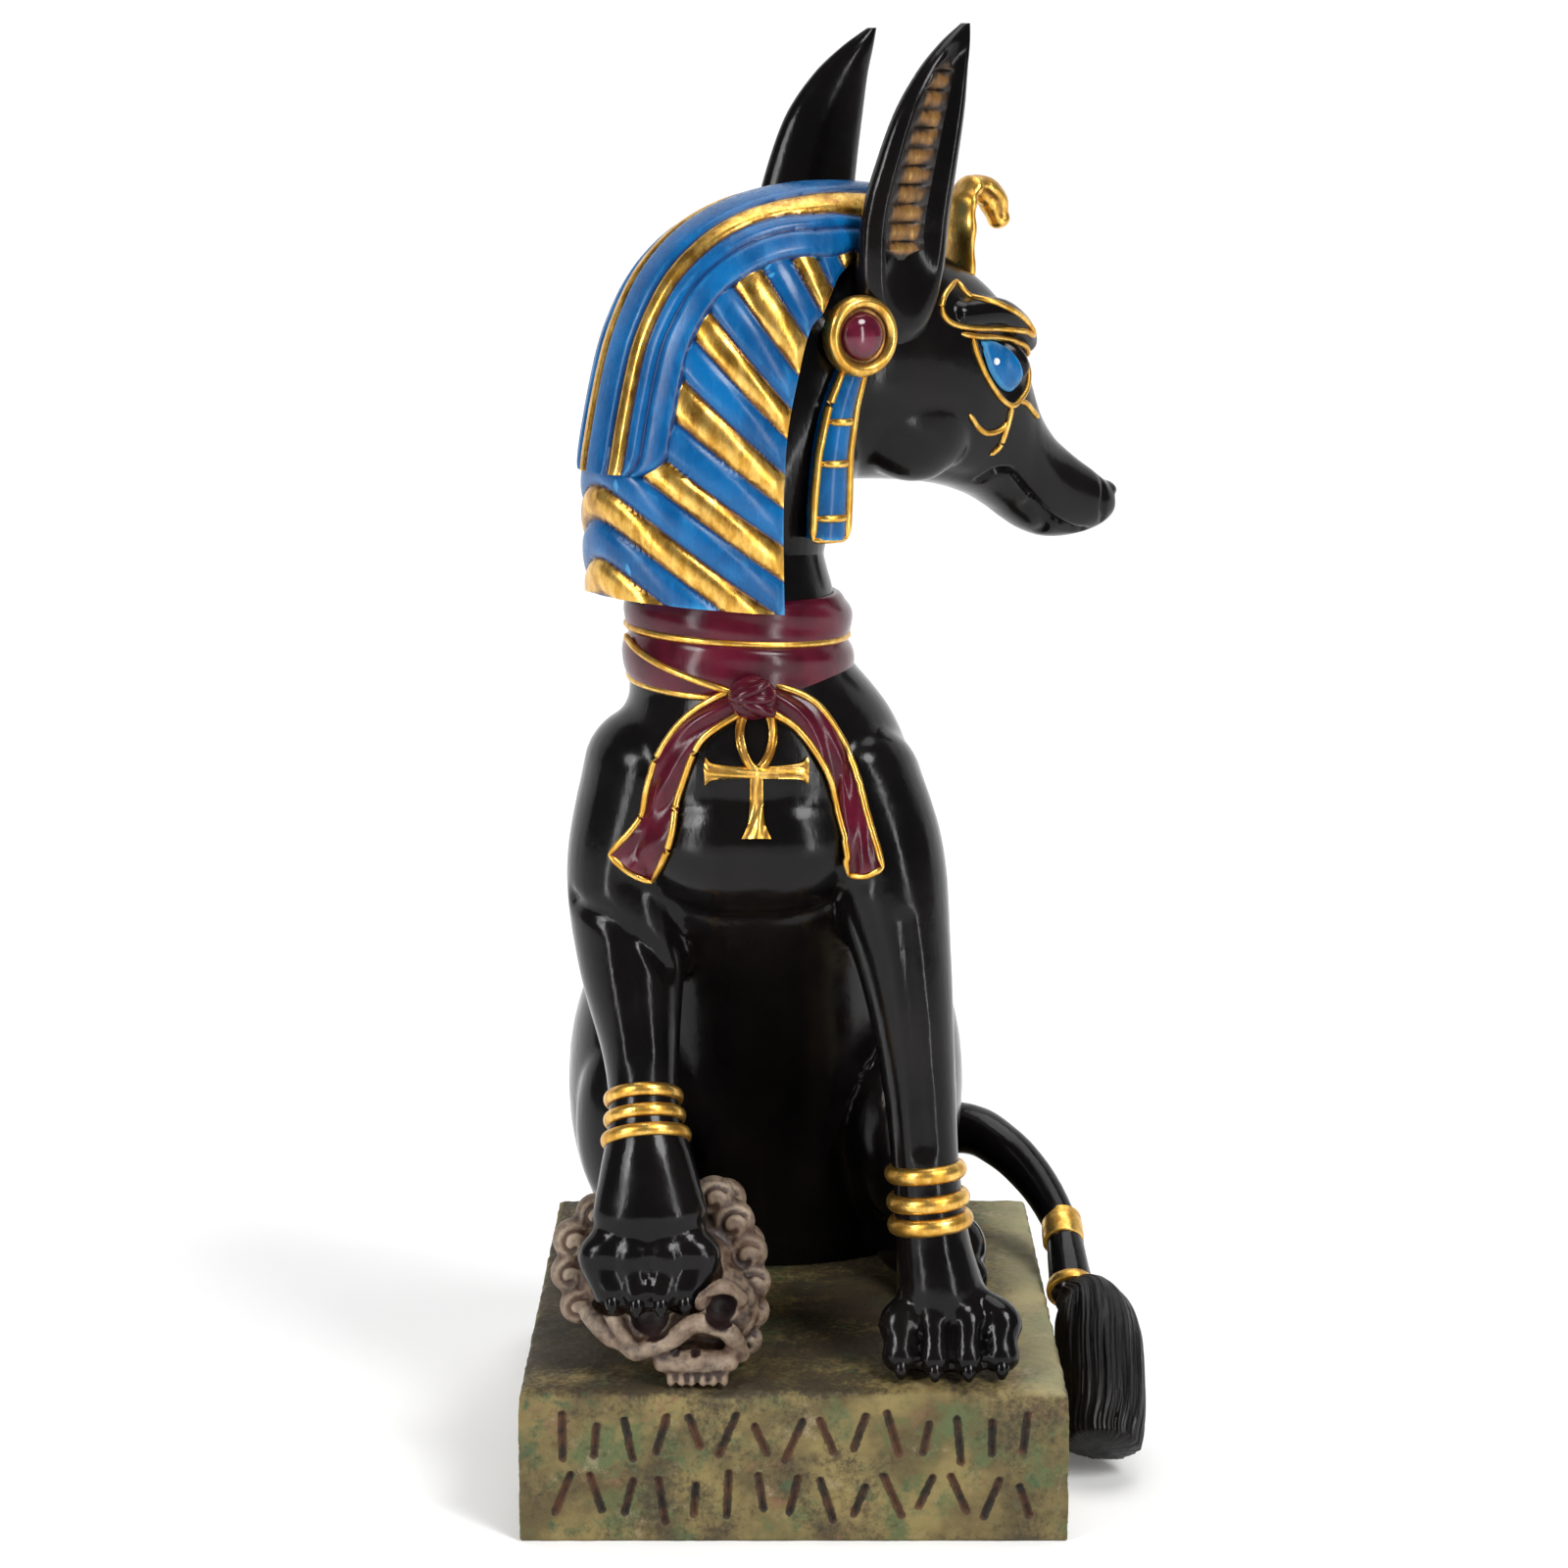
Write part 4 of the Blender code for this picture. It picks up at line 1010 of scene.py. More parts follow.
def add_leg_ring(bm, leg, height, section):
    """A ring that fits closely round a leg at that height."""
    rows = smooth_rows(leg, 20)
    k = int(np.argmin(abs(rows[:, 2] - height)))
    along = Vector(rows[k - 1][:3] - rows[k + 1][:3]).normalized()
    across = (X - along * X.dot(along)).normalized()
    deep = along.cross(across)
    centre, width, depth = Vector(rows[k][:3]), rows[k][3], rows[k][4]
    rings = []
    for a in circle(80):
        out = across * cos(a) + deep * sin(a)
        line = centre + across * width * cos(a) + deep * depth * sin(a)
        rings.append(
            [line + out * section[0] * cos(b) + along * section[1] * sin(b) for b in circle(20)]
        )
    add_rings(bm, rings, closed=True)


def build_leg_rings(gold):
    bm = bmesh.new()
    for leg, heights, section in WRISTS:
        for height in heights:
            add_leg_ring(bm, leg, height, section)
    return finish(into_object("leg_rings", bm), gold)


def hairs(share, a):
    """How far the brush swells at angle a, for locks and strands along it."""
    around = Vector((cos(a), sin(a), 0))
    lock = noise.noise(around * 3.2 + UP * 1.3 * share)
    strand = noise.noise(around * 11 + UP * (2.2 * share + 7))
    strand = strand + 0.7 * noise.noise(around * 22 + UP * (3 * share + 15))
    return (0.5 * lock + 0.42 * strand - 0.5) * min(1.0, 3.0 * share + 0.2)


def build_tail_end(gold, hair):
    """The two gold bands of the tail, and its brush."""
    bands, brush = bmesh.new(), bmesh.new()
    upper, _, lower = hung(TAIL_HUNG)
    for (x, y, z, r, _), length in ((upper, 3.5), (lower, 1.0)):
        rows = [
            (x, y + length, z + 0.5 * length, r + 0.35, r + 0.35),
            (x, y, z, r + 0.6, r + 0.6),
            (x, y - 0.8 * length, z - 0.45 * length, r + 0.55, r + 0.55),
        ]
        add_limb(bands, rows, side=UP, sides=48, round_ends=(0.1, 0.1))
    finish(into_object("tail_bands", bands), gold)
    rows = hung(BRUSH_HUNG)
    add_limb(brush, rows, side=UP, sides=240, per_span=20, round_ends=(0.2, 0.16), swell=hairs)
    finish(into_object("tail_brush", brush), hair, sharp=80)


def build_claws(black):
    """A short claw at the tip of each front toe."""
    bm = bmesh.new()
    for foot in (LEFT_TOES, RIGHT_TOES):
        for stations in toe_stations(**foot):
            x, y, z, size, _ = stations[-1]
            tip = max(z - 0.35 * foot["drop"], 1.1)
            rows = [
                (x, y - 0.45 * size, z - 0.1 * size, 1.6, 1.6),
                (x, y - 0.80 * size, z - 0.45 * size, 1.5, 1.4),
                (x, y - 0.78 * size, tip, 0.9, 1.0),
            ]
            add_limb(bm, rows, sides=16, per_span=5)
    return finish(into_object("claws", bm), black)


PAW_ROOM = 1.0  # between the paw and the skull it rests on
SKULL_MASSES = [  # middle, radii, turn in degrees
    ((-26.5, -41, 17), (19, 18, 15), (0, 0, 0)),
    ((-16.5, -52, 13.5), (9.5, 7.5, 9.0), (0, 12, 0)),
    ((-29.5, -53, 12.5), (8.5, 7.0, 8.0), (0, 0, 0)),
    ((-19, -57, 4.2), (7.6, 6.0, 3.4), (0, 4, 0)),
]
# Curls of carved bone round the skull: the middle and radius of each.
SKULL_CURLS = [
    ((-16.2, -43.5, 33.6), 4.3),
    ((-12.4, -45, 28.8), 4.6),
    ((-9.6, -46.5, 22.8), 4.4),
    ((-8.4, -48.5, 17.2), 3.9),
    ((-8.4, -49, 11.2), 3.6),
    ((-9.6, -50, 5.6), 3.4),
    ((-44.6, -45, 25.0), 4.4),
    ((-45.4, -47, 18.6), 4.0),
    ((-43.6, -49.5, 12.6), 3.8),
    ((-40.2, -43.5, 30.0), 4.2),
    ((-14.0, -37, 31.0), 4.4),
    ((-10.0, -38, 22.0), 4.2),
]
SKULL_RIDGES = [
    [(-43, -51, 13.6, 2.0, 2.2), (-37.5, -57, 9.6, 2.3, 2.4), (-31.3, -60.8, 6.8, 2.1, 2.4)],
    [
        (-31.3, -60.8, 6.8, 2.0, 2.2), (-25, -62, 9.2, 1.9, 2.1), (-19.4, -62.2, 13.2, 2.0, 2.1),
        (-13.2, -61, 11.0, 2.0, 2.1), (-10.6, -58.5, 5.4, 1.9, 2),
    ],
    [(-38, -57, 17, 1.5, 1.8), (-35.5, -59.6, 12.4, 1.6, 1.8), (-33.0, -60.6, 8.6, 1.4, 1.6)],
    [(-18.6, -60.5, 19.2, 1.5, 1.8), (-14.0, -60, 20.0, 1.6, 1.8), (-10.6, -57.5, 16.6, 1.5, 1.8)],
]
JAW_BLOCK = [
    (-26.2, -61.0, 4.7, 2.1, 2.6), (-19.4, -61.6, 5.0, 2.4, 2.9), (-12.8, -60.7, 4.7, 2.1, 2.6),
]
TEETH = 6
TOOTH_STEP = 2.15
FIRST_TOOTH = -24.6
TOOTH_RADII = (0.85, 1.0, 1.6)
SKULL_HOLLOWS = [
    ((-14.3, -61.5, 15.4), (3.5, 5.6, 3.4), (0, 0, 0)),
    ((-28.6, -62, 13.6), (4.4, 6.0, 4.2), (0, 0, 0)),
    ((-19.6, -64.0, 8.8), (1.8, 4.2, 2.3), (0, 0, 0)),
    ((-35.6, -61.5, 5.0), (3.4, 3.4, 2.0), (0, 35, 0)),
    ((-23.4, -64.0, 7.4), (1.5, 2.4, 0.9), (0, -20, 0)),
]


def curl_line(centre, radius):
    """A spiral on the front of a curl."""
    line = []
    for t in np.linspace(0.7, 5.2, 18):
        around = radius * (0.86 - 0.12 * t)
        deep = sqrt(max(radius**2 - around**2, 0.0))
        line.append(Vector(centre) + Vector((around * cos(t), -deep, around * sin(t))))
    return line


def push_out(places, centre, radii, turn):
    """Moves places that lie inside an ellipsoid onto its surface."""
    spin = np.array(Euler([radians(a) for a in turn]).to_matrix())
    local = (places - np.array(centre)) @ spin / np.array(radii)
    far = np.linalg.norm(local, axis=1)
    inside = (far < 1) & (far > 1e-6)
    local[inside] /= far[inside][:, None]
    moved = (local * np.array(radii)) @ spin.T + np.array(centre)
    return np.where(inside[:, None], moved, places), inside


def paw_masses():
    """The middles and radii of ellipsoids round the right paw, with the room it needs."""
    masses = []
    for x, y, z, w, d in smooth_rows(RIGHT_FORELEG[4:], 6):
        masses.append(((x, y, z), (w + PAW_ROOM, d + PAW_ROOM, d + PAW_ROOM)))
    for stations in toe_stations(**RIGHT_TOES):
        for x, y, z, w, d in smooth_rows(stations, 4):
            masses.append(((x, y, z), (w + PAW_ROOM, w + PAW_ROOM, d + PAW_ROOM)))
    return masses


def build_skull(bone):
    """The skull with its curls and ridges, its hollows, the dent under the paw, and its teeth."""
    bm = bmesh.new()
    for centre, radii, turn in SKULL_MASSES:
        add_ball(bm, centre, radii, turn)
    for ridge in SKULL_RIDGES:
        add_limb(bm, ridge, side=UP, sides=20)
    for centre, radius in SKULL_CURLS:
        add_ball(bm, centre, (radius, radius, radius))
    add_limb(bm, JAW_BLOCK, side=UP, sides=20)
    for k in range(TEETH):
        x = FIRST_TOOTH + TOOTH_STEP * k
        add_ball(bm, (x, -62.6 + 0.12 * abs(k - 2.5), 1.5), TOOTH_RADII)
    skull = grow_skin("skull_bone", bm, SKULL_VOXEL, SKULL_SMOOTHING)
    places, _ = points_and_normals(skull.data)
    # Points inside the hollows are painted near black: painted shade in the eye sockets and the other
    # hollows.
    dark = np.zeros(len(places))
    for centre, radii, turn in SKULL_HOLLOWS:
        places, inside = push_out(places, centre, radii, turn)
        dark = np.maximum(dark, inside * 1.0)
    for centre, radii in paw_masses():
        places, _ = push_out(places, centre, radii, (0, 0, 0))
    places[:, 2] = np.maximum(places[:, 2], 0.0)
    set_points(skull.data, places)
    for centre, radius in SKULL_CURLS:
        press(skull, curl_line(centre, radius), 0.65, 0.85)
    press(skull, [(-25.6, -64.0, 2.7), (-13.4, -63.6, 2.7)], 0.45, 0.7)
    for k in range(TEETH + 1):
        x = FIRST_TOOTH + TOOTH_STEP * (k - 0.5)
        press(skull, [(x, -63.4, 0.2), (x, -63.4, 2.4)], 0.4, 1.1)
    add_number(skull.data, "dark", dark)
    return finish(skull, bone, "skull", sharp=80)


def plinth_strokes():
    """Two rows of slanting straight marks across the front, as (x, z, length, tilt in degrees)."""
    marks = []
    for row, height in enumerate((0.70, 0.30)):
        for k in range(STROKE_COUNT):
            across = (k + 0.5) / STROKE_COUNT - 0.5
            wander = sin(5.1 * k + 2.3 * row)
            length = PLINTH_HEIGHT * (0.24 + 0.05 * cos(3.7 * k + row))
            place = (across * 0.9 * PLINTH_WIDTH, PLINTH_HEIGHT * (height + 0.03 * wander))
            marks.append((*place, length, 24 * sin(2.9 * k + 1.1 * row)))
    return marks


def rectangle(half_x, half_y, counts):
    """Points round a rectangle, with that many to each side, from the front left corner."""
    corners = [(-half_x, -half_y), (half_x, -half_y), (half_x, half_y), (-half_x, half_y)]
    points = []
    for (x0, y0), (x1, y1), count in zip(corners, corners[1:] + corners[:1], counts):
        for k in range(count):
            share = k / count
            points.append((x0 + (x1 - x0) * share, y0 + (y1 - y0) * share))
    return points


def stone_wear(place, size):
    """Uneven wear at a place, in patches of that size."""
    return noise.fractal(Vector(place) / size, 0.8, 2.0, 5)


EDGE_ROUNDING = [(0.8, 0.25), (0.3, 0.8), (0.05, 1.5)]  # below the top, and in from the side


def build_plinth(stone):
    """The block, with worn edges, a pitted surface and shallow strokes across its front."""
    top = PLINTH_HEIGHT / U
    half_y = PLINTH_DEPTH / 2 / U
    counts = ((270, 110, 100, 110))
    levels = [(z, 0.0) for z in np.linspace(0, top - 1.6, 80)]
    levels[0] = (0.0, 0.5)
    levels += [(top - below, inset) for below, inset in EDGE_ROUNDING]
    levels += [(top, inset) for inset in np.linspace(2.4, SIDE - 2, 44)]
    rings = []
    for z, inset in levels:
        rings.append([Vector((x, y, z)) for x, y in rectangle(SIDE - inset, half_y - inset, counts)])
    bm = bmesh.new()
    add_rings(bm, rings)
    obj = into_object("plinth_stone", bm)
    places, normals = points_and_normals(obj.data)
    stroke = np.full(len(places), 9.0)
    for x, z, length, tilt in plinth_strokes():
        lean = radians(tilt)
        way = np.array([sin(lean), 0, cos(lean)]) * length / U / 2
        middle = np.array([x / U, -half_y, z / U])
        stroke = np.minimum(stroke, distance_to_line(places, [middle - way, middle, middle + way]))
    wear = np.array([stone_wear(p, 5.0) for p in places])
    pits = np.array([stone_wear(p + 40, 1.6) for p in places])
    edge = np.minimum(SIDE - np.abs(places[:, 0]), half_y - np.abs(places[:, 1]))
    near_top = np.exp(-(((places[:, 2] - top) / 2.2) ** 2)) * np.exp(-((edge / 2.5) ** 2))
    depth = 0.10 + 0.22 * np.clip(wear, -0.6, 1) + 0.10 * np.clip(pits, -1, 1)
    depth += near_top * (0.35 + 0.9 * np.clip(wear, 0, 1))
    half_stroke = STROKE_WIDTH / U / 2
    depth += STROKE_DEPTH / U * np.clip(1.35 - (stroke / half_stroke) ** 2 * 0.8, 0, 1)
    depth = np.where(places[:, 2] < 0.05, 0, np.maximum(depth, 0.0))
    set_points(obj.data, places - normals * depth[:, None])
    add_number(obj.data, "stroke", stroke)
    # On the top: above nought to the left, where the paint is darker, partly real brown wash and partly
    # a painted shadow of the figure; below nought to the right, where it is paler, painted light.
    on_top = np.clip(1 + (places[:, 2] - top) / 1.5, 0, 1)
    to_left = np.clip((52 - places[:, 0]) / 30, 0, 1)
    add_number(obj.data, "wash_and_painted_light", on_top * (1.5 * to_left - 0.5))
    return finish(obj, stone, "plinth", lift=False, sharp=70)


class Finish:
    """A small builder for one procedural paint."""

    def __init__(self, name):
        self.material = bpy.data.materials.new(name)
        self.material.use_nodes = True
        self.tree = self.material.node_tree
        self.shader = self.tree.nodes["Principled BSDF"]
        self.where = self.tree.nodes.new("ShaderNodeTexCoord").outputs["Object"]

    def put(self, kind, inputs=(), output=0, **settings):
        """Adds a node, sets its properties, and fills its inputs by name or place."""
        node = self.tree.nodes.new(kind)
        for name, value in settings.items():
            setattr(node, name, value)
        for name, value in dict(inputs).items():
            self.feed(node.inputs[name], value)
        return node.outputs[output]

    def feed(self, socket, value):
        if isinstance(value, bpy.types.NodeSocket):
            self.tree.links.new(value, socket)
        else:
            socket.default_value = value

    def noise(self, scale, detail=4.0, rough=0.55, stretch=None, seed=0.0):
        place = self.where
        if stretch:
            place = self.put("ShaderNodeMapping", {"Vector": place, "Scale": stretch})
        inputs = {"Vector": place, "W": seed, "Scale": scale, "Detail": detail, "Roughness": rough}
        return self.put("ShaderNodeTexNoise", inputs, noise_dimensions="4D")

    def steps(self, value, low, high, to_low=0.0, to_high=1.0):
        inputs = {0: value, 1: low, 2: high, 3: to_low, 4: to_high}
        return self.put("ShaderNodeMapRange", inputs, interpolation_type="SMOOTHSTEP")

    def between(self, pattern, low, high):
        """From low to high across the middle of a pattern."""
        return self.steps(pattern, 0.3, 0.7, low, high)

    def sum(self, one, other):
        return self.put("ShaderNodeMath", {0: one, 1: other}, operation="ADD")

    def times(self, one, other):
        return self.put("ShaderNodeMath", {0: one, 1: other}, operation="MULTIPLY")

    def spread(self, pattern, amount):
        """A pattern of about a half, turned into one about nought with that strength."""
        return self.times(self.sum(pattern, -0.5), amount)

    def mix(self, share, one, other):
        """A colour between two, each a socket or (red, green, blue)."""
        inputs = {0: share}
        for place, colour in ((6, one), (7, other)):
            inputs[place] = (*colour, 1.0) if isinstance(colour, tuple) else colour
        return self.put("ShaderNodeMix", inputs, output=2, data_type="RGBA")

    def number(self, name):
        return self.put("ShaderNodeAttribute", output=2, attribute_name=name)

    def ridge(self, pattern, amount):
        """Above a half on outward edges, and below it in hollows, made ragged by a pattern."""
        pointed = self.put("ShaderNodeNewGeometry", output=7)
        return self.sum(pointed, self.spread(pattern, amount))

    def clouds(self, scale, seed, one, other, low=0.35, high=0.7):
        """Soft patches of two colours."""
        return self.mix(self.steps(self.noise(scale, seed=seed), low, high), one, other)

    def bump(self, height, strength, distance):
        inputs = {"Height": height, "Strength": strength, "Distance": distance}
        self.feed(self.shader.inputs["Normal"], self.put("ShaderNodeBump", inputs))

    def set(self, **values):
        for name, value in values.items():
            self.feed(self.shader.inputs[name.replace("_", " ").title().replace("Ior", "IOR")], value)
        return self.material


def black_paint():
    f = Finish("black_gloss_paint")
    colour = f.clouds(45, 0.0, (0.0028, 0.0024, 0.0026), (0.006, 0.0045, 0.0045), 0.4, 0.75)
    brush = f.noise(900, 3, 0.6, (1, 1, 0.35))
    rough = f.steps(f.noise(120, 5), 0.3, 0.75, 0.13, 0.24)
    f.bump(f.sum(brush, f.times(f.noise(160), 1.5)), 0.10, 0.0004)
    return f.set(base_color=colour, roughness=rough, specular_ior_level=0.20)


def hair_paint():
    """The brush is duller, with a little dry-brushed grey on its strands."""
    f = Finish("hair_paint")
    strand = f.noise(500, 4, 0.6, (1, 1, 0.12))
    ridge = f.ridge(strand, 0.15)
    colour = f.mix(f.steps(ridge, 0.50, 0.60), (0.002, 0.0015, 0.0015), (0.011, 0.008, 0.007))
    f.bump(strand, 0.3, 0.0005)
    rough = f.between(strand, 0.30, 0.5)
    return f.set(base_color=colour, roughness=rough, specular_ior_level=0.2)


def gold_mix(f, share_low, share_high, patchy=0.05):
    """Brown rubbed into the hollows and over whole patches, bright metal on the ridges."""
    streaks = f.noise(420, 5, 0.65, (1, 1, 0.4))
    ridge = f.ridge(streaks, 0.10)
    ridge = f.sum(ridge, f.spread(f.noise(110, 4, 0.6, seed=8.0), patchy))
    bright = f.steps(ridge, share_low, share_high)
    patches = f.steps(f.noise(260, 4, 0.6, seed=3.0), 0.35, 0.7)
    deep = f.mix(patches, (0.10, 0.042, 0.010), (0.36, 0.17, 0.035))
    shine = f.mix(f.steps(streaks, 0.35, 0.7), (0.56, 0.28, 0.035), (0.90, 0.58, 0.15))
    return f.mix(bright, deep, shine), bright, streaks


def lining_paint():
    """Gold on the ribs inside an ear, and near black between them."""
    f = Finish("lining_paint")
    streaks = f.noise(420, 5, 0.65, (1, 1, 0.4))
    bright = f.steps(f.sum(f.number("rib"), f.spread(streaks, 1.3)), 0.25, 1.35)
    colour = f.mix(f.steps(bright, 0.0, 0.5), (0.010, 0.006, 0.004), (0.22, 0.105, 0.026))
    colour = f.mix(f.steps(bright, 0.45, 1.0), colour, (0.78, 0.50, 0.16))
    f.bump(streaks, 0.25, 0.0005)
    metal = f.steps(bright, 0.2, 1.0, 0.1, 0.85)
    rough = f.between(streaks, 0.44, 0.3)
    return f.set(base_color=colour, metallic=metal, roughness=rough)


def gold_paint():
    f = Finish("gold_paint")
    colour, bright, streaks = gold_mix(f, 0.45, 0.53)
    f.bump(streaks, 0.22, 0.0005)
    metal = f.steps(bright, 0.0, 1.0, 0.55, 0.95)
    rough = f.between(streaks, 0.40, 0.24)
    return f.set(base_color=colour, metallic=metal, roughness=rough)


def blue_shades(f):
    """Blue in two shades, paler on the edges, and its brush streaks."""
    streaks = f.noise(300, 5, 0.65, (1, 1, 0.25))
    ridge = f.ridge(streaks, 0.16)
    base = f.clouds(90, 0.0, (0.001, 0.060, 0.190), (0.002, 0.110, 0.31))
    return f.mix(f.steps(ridge, 0.51, 0.60, 0.0, 0.7), base, (0.05, 0.30, 0.58)), streaks


def blue_paint():
    f = Finish("blue_paint")
    colour, streaks = blue_shades(f)
    f.bump(streaks, 0.12, 0.0004)
    rough = f.between(streaks, 0.2, 0.32)
    return f.set(base_color=colour, roughness=rough, specular_ior_level=0.3)


def headdress_paint():
    """Blue with gold stripes, and a dark line of painted shade in the grooves between them."""
    f = Finish("headdress_paint")
    blue, streaks = blue_shades(f)
    gold, bright, _ = gold_mix(f, 0.455, 0.525, 0.16)
    ragged = f.spread(f.noise(700), 0.7)
    inside = f.steps(f.sum(f.number("gold"), ragged), -0.12, 0.12)
    # Darker in the grooves between the bands, navy beside blue and brown beside gold: painted shade.
    groove = f.steps(f.sum(f.number("edge"), f.times(ragged, 0.6)), 0.55, 0.12)
    colour = f.mix(inside, blue, gold)
    dark = f.mix(inside, (0.006, 0.02, 0.09), (0.05, 0.022, 0.008))
    colour = f.mix(f.times(groove, 0.85), colour, dark)
    metal = f.times(f.times(inside, 0.9), f.steps(groove, 0.0, 1.0, 1.0, 0.3))
    f.bump(streaks, 0.16, 0.0005)
    rough = f.between(streaks, 0.2, 0.34)
    return f.set(base_color=colour, metallic=metal, roughness=rough, specular_ior_level=0.3)


def burgundy_paint():
    f = Finish("burgundy_paint")
    streaks = f.noise(320, 5, 0.6, (1, 1, 0.4))
    ridge = f.ridge(streaks, 0.12)
    base = f.clouds(110, 0.0, (0.045, 0.002, 0.008), (0.092, 0.006, 0.018))
    colour = f.mix(f.steps(ridge, 0.52, 0.62, 0.0, 0.5), base, (0.20, 0.035, 0.058))
    f.bump(streaks, 0.10, 0.0004)
    shine = f.between(streaks, 0.15, 0.26)
    return f.set(base_color=colour, roughness=shine, specular_ior_level=0.3)


def gem_paint():
    f = Finish("burgundy_stone_paint")
    cloud = f.noise(220)
    colour = f.mix(f.steps(cloud, 0.35, 0.7), (0.065, 0.004, 0.014), (0.13, 0.011, 0.032))
    f.bump(cloud, 0.06, 0.0004)
    return f.set(base_color=colour, roughness=f.between(cloud, 0.08, 0.16))


def white_paint():
    """The small dot of light painted on each eye."""
    f = Finish("white_paint")
    cloud = f.noise(400)
    colour = f.mix(cloud, (0.86, 0.88, 0.9), (0.95, 0.95, 0.95))
    return f.set(base_color=colour, roughness=f.between(cloud, 0.25, 0.4))


def bone_paint():
    f = Finish("bone_paint")
    grain = f.noise(520, 6, 0.65)
    ridge = f.ridge(grain, 0.16)
    wash_and_painted_light = f.clouds(150, 2.0, (0.018, 0.007, 0.004), (0.085, 0.040, 0.020))
    pale = f.clouds(80, 5.0, (0.18, 0.122, 0.078), (0.35, 0.272, 0.195))
    colour = f.mix(f.steps(ridge, 0.475, 0.565), wash_and_painted_light, pale)
    # Near black inside the hollows: painted shade.
    colour = f.mix(f.times(f.number("dark"), 0.93), colour, (0.012, 0.004, 0.004))
    f.bump(grain, 0.35, 0.0006)
    return f.set(base_color=colour, roughness=f.between(grain, 0.42, 0.68))


STONE_PATCHES = [  # scale, roughness, seed, where it starts and is full, strength, colour
    (75, 0.7, 4.0, 0.50, 0.62, 1.0, (0.065, 0.085, 0.025)),
    (130, 0.7, 7.0, 0.56, 0.68, 1.0, (0.025, 0.060, 0.020)),
    (95, 0.7, 9.0, 0.56, 0.67, 0.75, (0.17, 0.075, 0.035)),
    (110, 0.75, 12.0, 0.55, 0.70, 0.7, (0.29, 0.22, 0.135)),
]


def stone_paint():
    """Tan with olive, green, rust and pale patches, and dark brown in the strokes and pits; on the top,
    darker to the left, partly brown wash and partly painted shadow, and paler to the right, painted
    light.
    """
    f = Finish("stone_paint")
    grain = f.noise(800, 6, 0.7)
    colour = f.clouds(60, 1.0, (0.068, 0.046, 0.011), (0.195, 0.145, 0.046), 0.38, 0.62)
    for scale, rough, seed, low, high, share, tint in STONE_PATCHES:
        patch = f.steps(f.noise(scale, 6, rough, seed=seed), low, high, 0, share)
        colour = f.mix(patch, colour, tint)
    stain = f.sum(f.noise(42, 7, 0.72, seed=15.0), f.spread(grain, 0.5))
    # More dark stain over the top's left: partly real brown wash, partly a painted shadow of the figure.
    stain = f.sum(stain, f.times(f.number("wash_and_painted_light"), 0.13))
    colour = f.mix(f.steps(stain, 0.47, 0.66, 0, 0.88), colour, (0.022, 0.013, 0.004))
    # Paler over the top's right: painted light.
    colour = f.mix(f.steps(f.number("wash_and_painted_light"), 0.1, -0.5, 0, 0.45), colour, (0.40, 0.37, 0.21))
    ridge = f.ridge(grain, 0.3)
    colour = f.mix(f.steps(ridge, 0.48, 0.38, 0, 0.75), colour, (0.03, 0.018, 0.008))
    colour = f.mix(f.steps(ridge, 0.56, 0.68, 0, 0.5), colour, (0.40, 0.33, 0.22))
    ragged = f.spread(f.noise(900, 4, 0.6, seed=3.0), 0.9)
    mark = f.steps(f.sum(f.number("stroke"), ragged), 1.0, 0.72)
    shade = f.clouds(240, 6.0, (0.008, 0.004, 0.002), (0.075, 0.026, 0.008), 0.4, 0.62)
    colour = f.mix(f.times(mark, 0.92), colour, shade)
    f.bump(f.sum(grain, f.noise(300, 5)), 0.45, 0.0008)
    return f.set(base_color=colour, roughness=f.between(grain, 0.62, 0.86))


# The floor is level round the figurine, and curves up far behind it.
FLOOR_REACH = 5.0
CURVE_START, CURVE_RADIUS, WALL_HEIGHT = 1.2, 1.0, 3.0
SURROUND_STRENGTH = 0.12
SUNS = [  # name, where it shines from, strength, spread in degrees
    ("key", (0.62, -0.60, 0.90), 1.9, 22),
    ("fill", (-0.85, -0.62, 0.62), 1.0, 20),
    ("top", (0.1, 0.25, 1.0), 1.4, 45),
]
STRIPS = [  # name, place, size, watts
    ("left_strip", (-0.55, -0.55, 0.35), (0.10, 0.7), 2.4),
    ("right_strip", (0.50, -0.60, 0.30), (0.08, 0.6), 1.8),
]
STRIP_AIM = Vector((0, 0, 0.15))


def add_strip(name, place, size, watts):
    data = bpy.data.lights.new(name, "AREA")
    data.shape = "RECTANGLE"
    data.size, data.size_y = size
    data.energy = watts
    lamp = put_in_scene(name, data)
    lamp.location = place
    lamp.rotation_euler = (STRIP_AIM - Vector(place)).to_track_quat("-Z", "Y").to_euler()


def add_sun(name, aim_from, strength, spread):
    data = bpy.data.lights.new(name, "SUN")
    data.energy = strength
    data.angle = radians(spread)
    put_in_scene(name, data).rotation_euler = Vector(aim_from).to_track_quat("Z", "Y").to_euler()


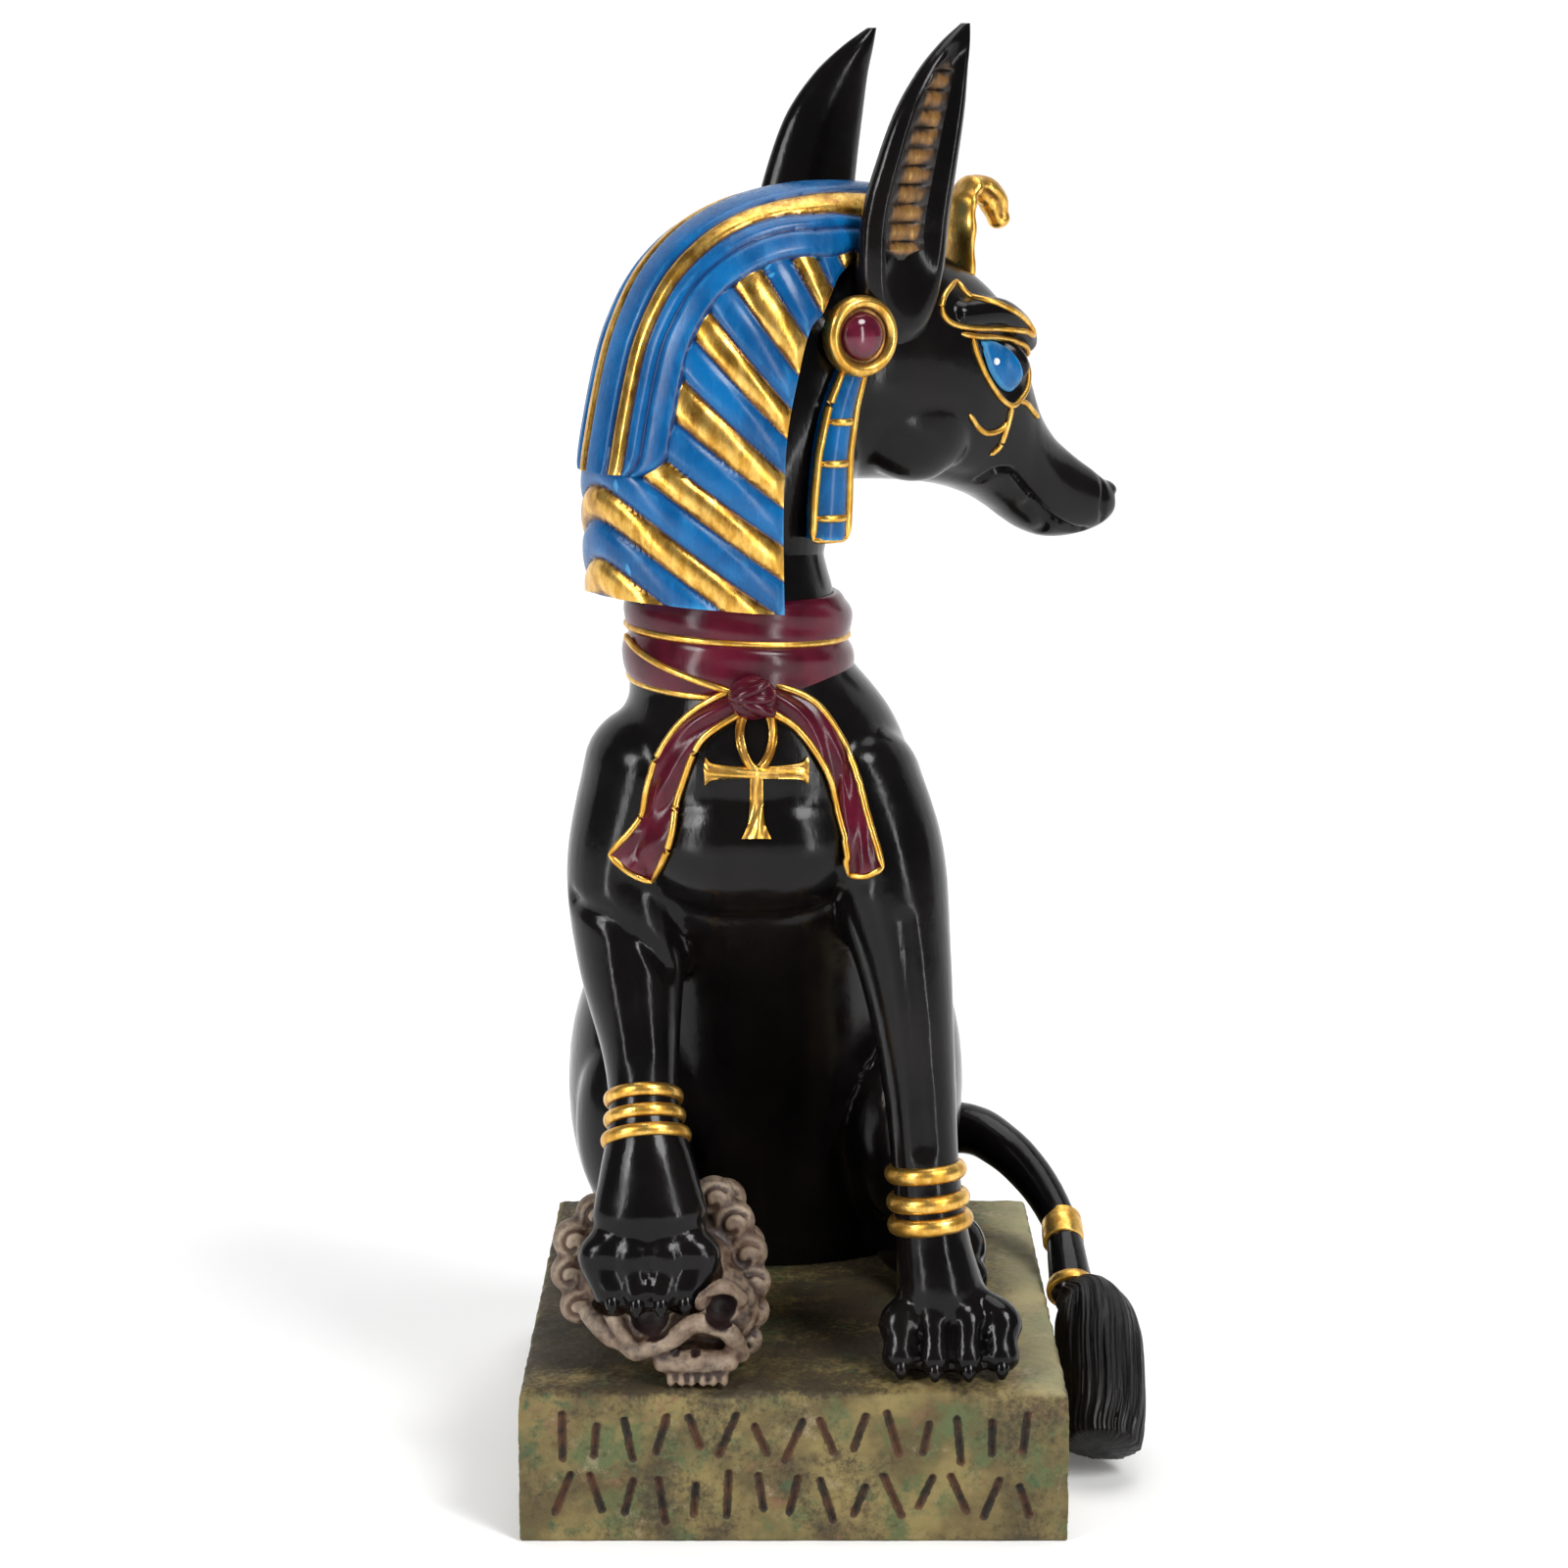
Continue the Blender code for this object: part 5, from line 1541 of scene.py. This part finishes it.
def build_floor():
    """A pale sweep that is level under the figurine and curves up far behind it."""
    f = Finish("floor_paper")
    cloud = f.noise(6)
    colour = f.mix(cloud, (0.88, 0.88, 0.88), (0.92, 0.92, 0.92))
    f.set(base_color=colour, roughness=f.between(cloud, 0.8, 0.95), specular_ior_level=0.1)
    profile = [(-FLOOR_REACH, 0.0), (CURVE_START, 0.0)]
    for a in np.linspace(0.1, pi / 2, 16):
        profile.append((CURVE_START + CURVE_RADIUS * sin(a), CURVE_RADIUS * (1 - cos(a))))
    profile.append((CURVE_START + CURVE_RADIUS, WALL_HEIGHT))
    bm = bmesh.new()
    sides = [[bm.verts.new((x, y, z)) for y, z in profile] for x in (-FLOOR_REACH, FLOOR_REACH)]
    for k in range(len(profile) - 1):
        bm.faces.new((sides[0][k], sides[1][k], sides[1][k + 1], sides[0][k + 1]))
    mesh = bpy.data.meshes.new("floor")
    bm.to_mesh(mesh)
    bm.free()
    mesh.shade_smooth()
    mesh.materials.append(f.material)
    put_in_scene("floor", mesh)


def build_stage():
    """The floor, a dim surround, soft lights and the photograph's camera."""
    build_floor()
    world = bpy.data.worlds.new("studio")
    world.use_nodes = True
    world.node_tree.nodes["Background"].inputs["Color"].default_value = (1, 1, 1, 1)
    world.node_tree.nodes["Background"].inputs["Strength"].default_value = SURROUND_STRENGTH
    bpy.context.scene.world = world
    for sun in SUNS:
        add_sun(*sun)
    for strip in STRIPS:
        add_strip(*strip)
    data = bpy.data.cameras.new("camera")
    data.sensor_width = CAMERA_SENSOR
    data.lens = CAMERA_LENS
    camera = put_in_scene("camera", data)
    camera.location = CAMERA_PLACE
    camera.rotation_euler = (pi / 2 - CAMERA_PITCH, 0, 0)
    bpy.context.scene.camera = camera
    bpy.context.scene.view_settings.view_transform = "Standard"


def main():
    black, gold, blue = black_paint(), gold_paint(), blue_paint()
    burgundy = burgundy_paint()
    build_head_pieces(black, gold, blue)
    body = build_body(black)
    build_scarf(burgundy, gold, body)
    build_ankh(gold, body)
    build_leg_rings(gold)
    build_tail_end(gold, hair_paint())
    build_claws(black)
    build_skull(bone_paint())
    build_plinth(stone_paint())
    build_stage()


def build_head_pieces(black, gold, blue):
    _, face = build_head(black)
    build_ears(black)
    build_ear_linings(lining_paint())
    build_headdress(headdress_paint())
    build_ear_discs(gold, gem_paint())
    build_lappets(blue, gold)
    build_cobra(gold)
    build_face_lines(gold, face)
    build_eyes(blue, white_paint(), face)


main()
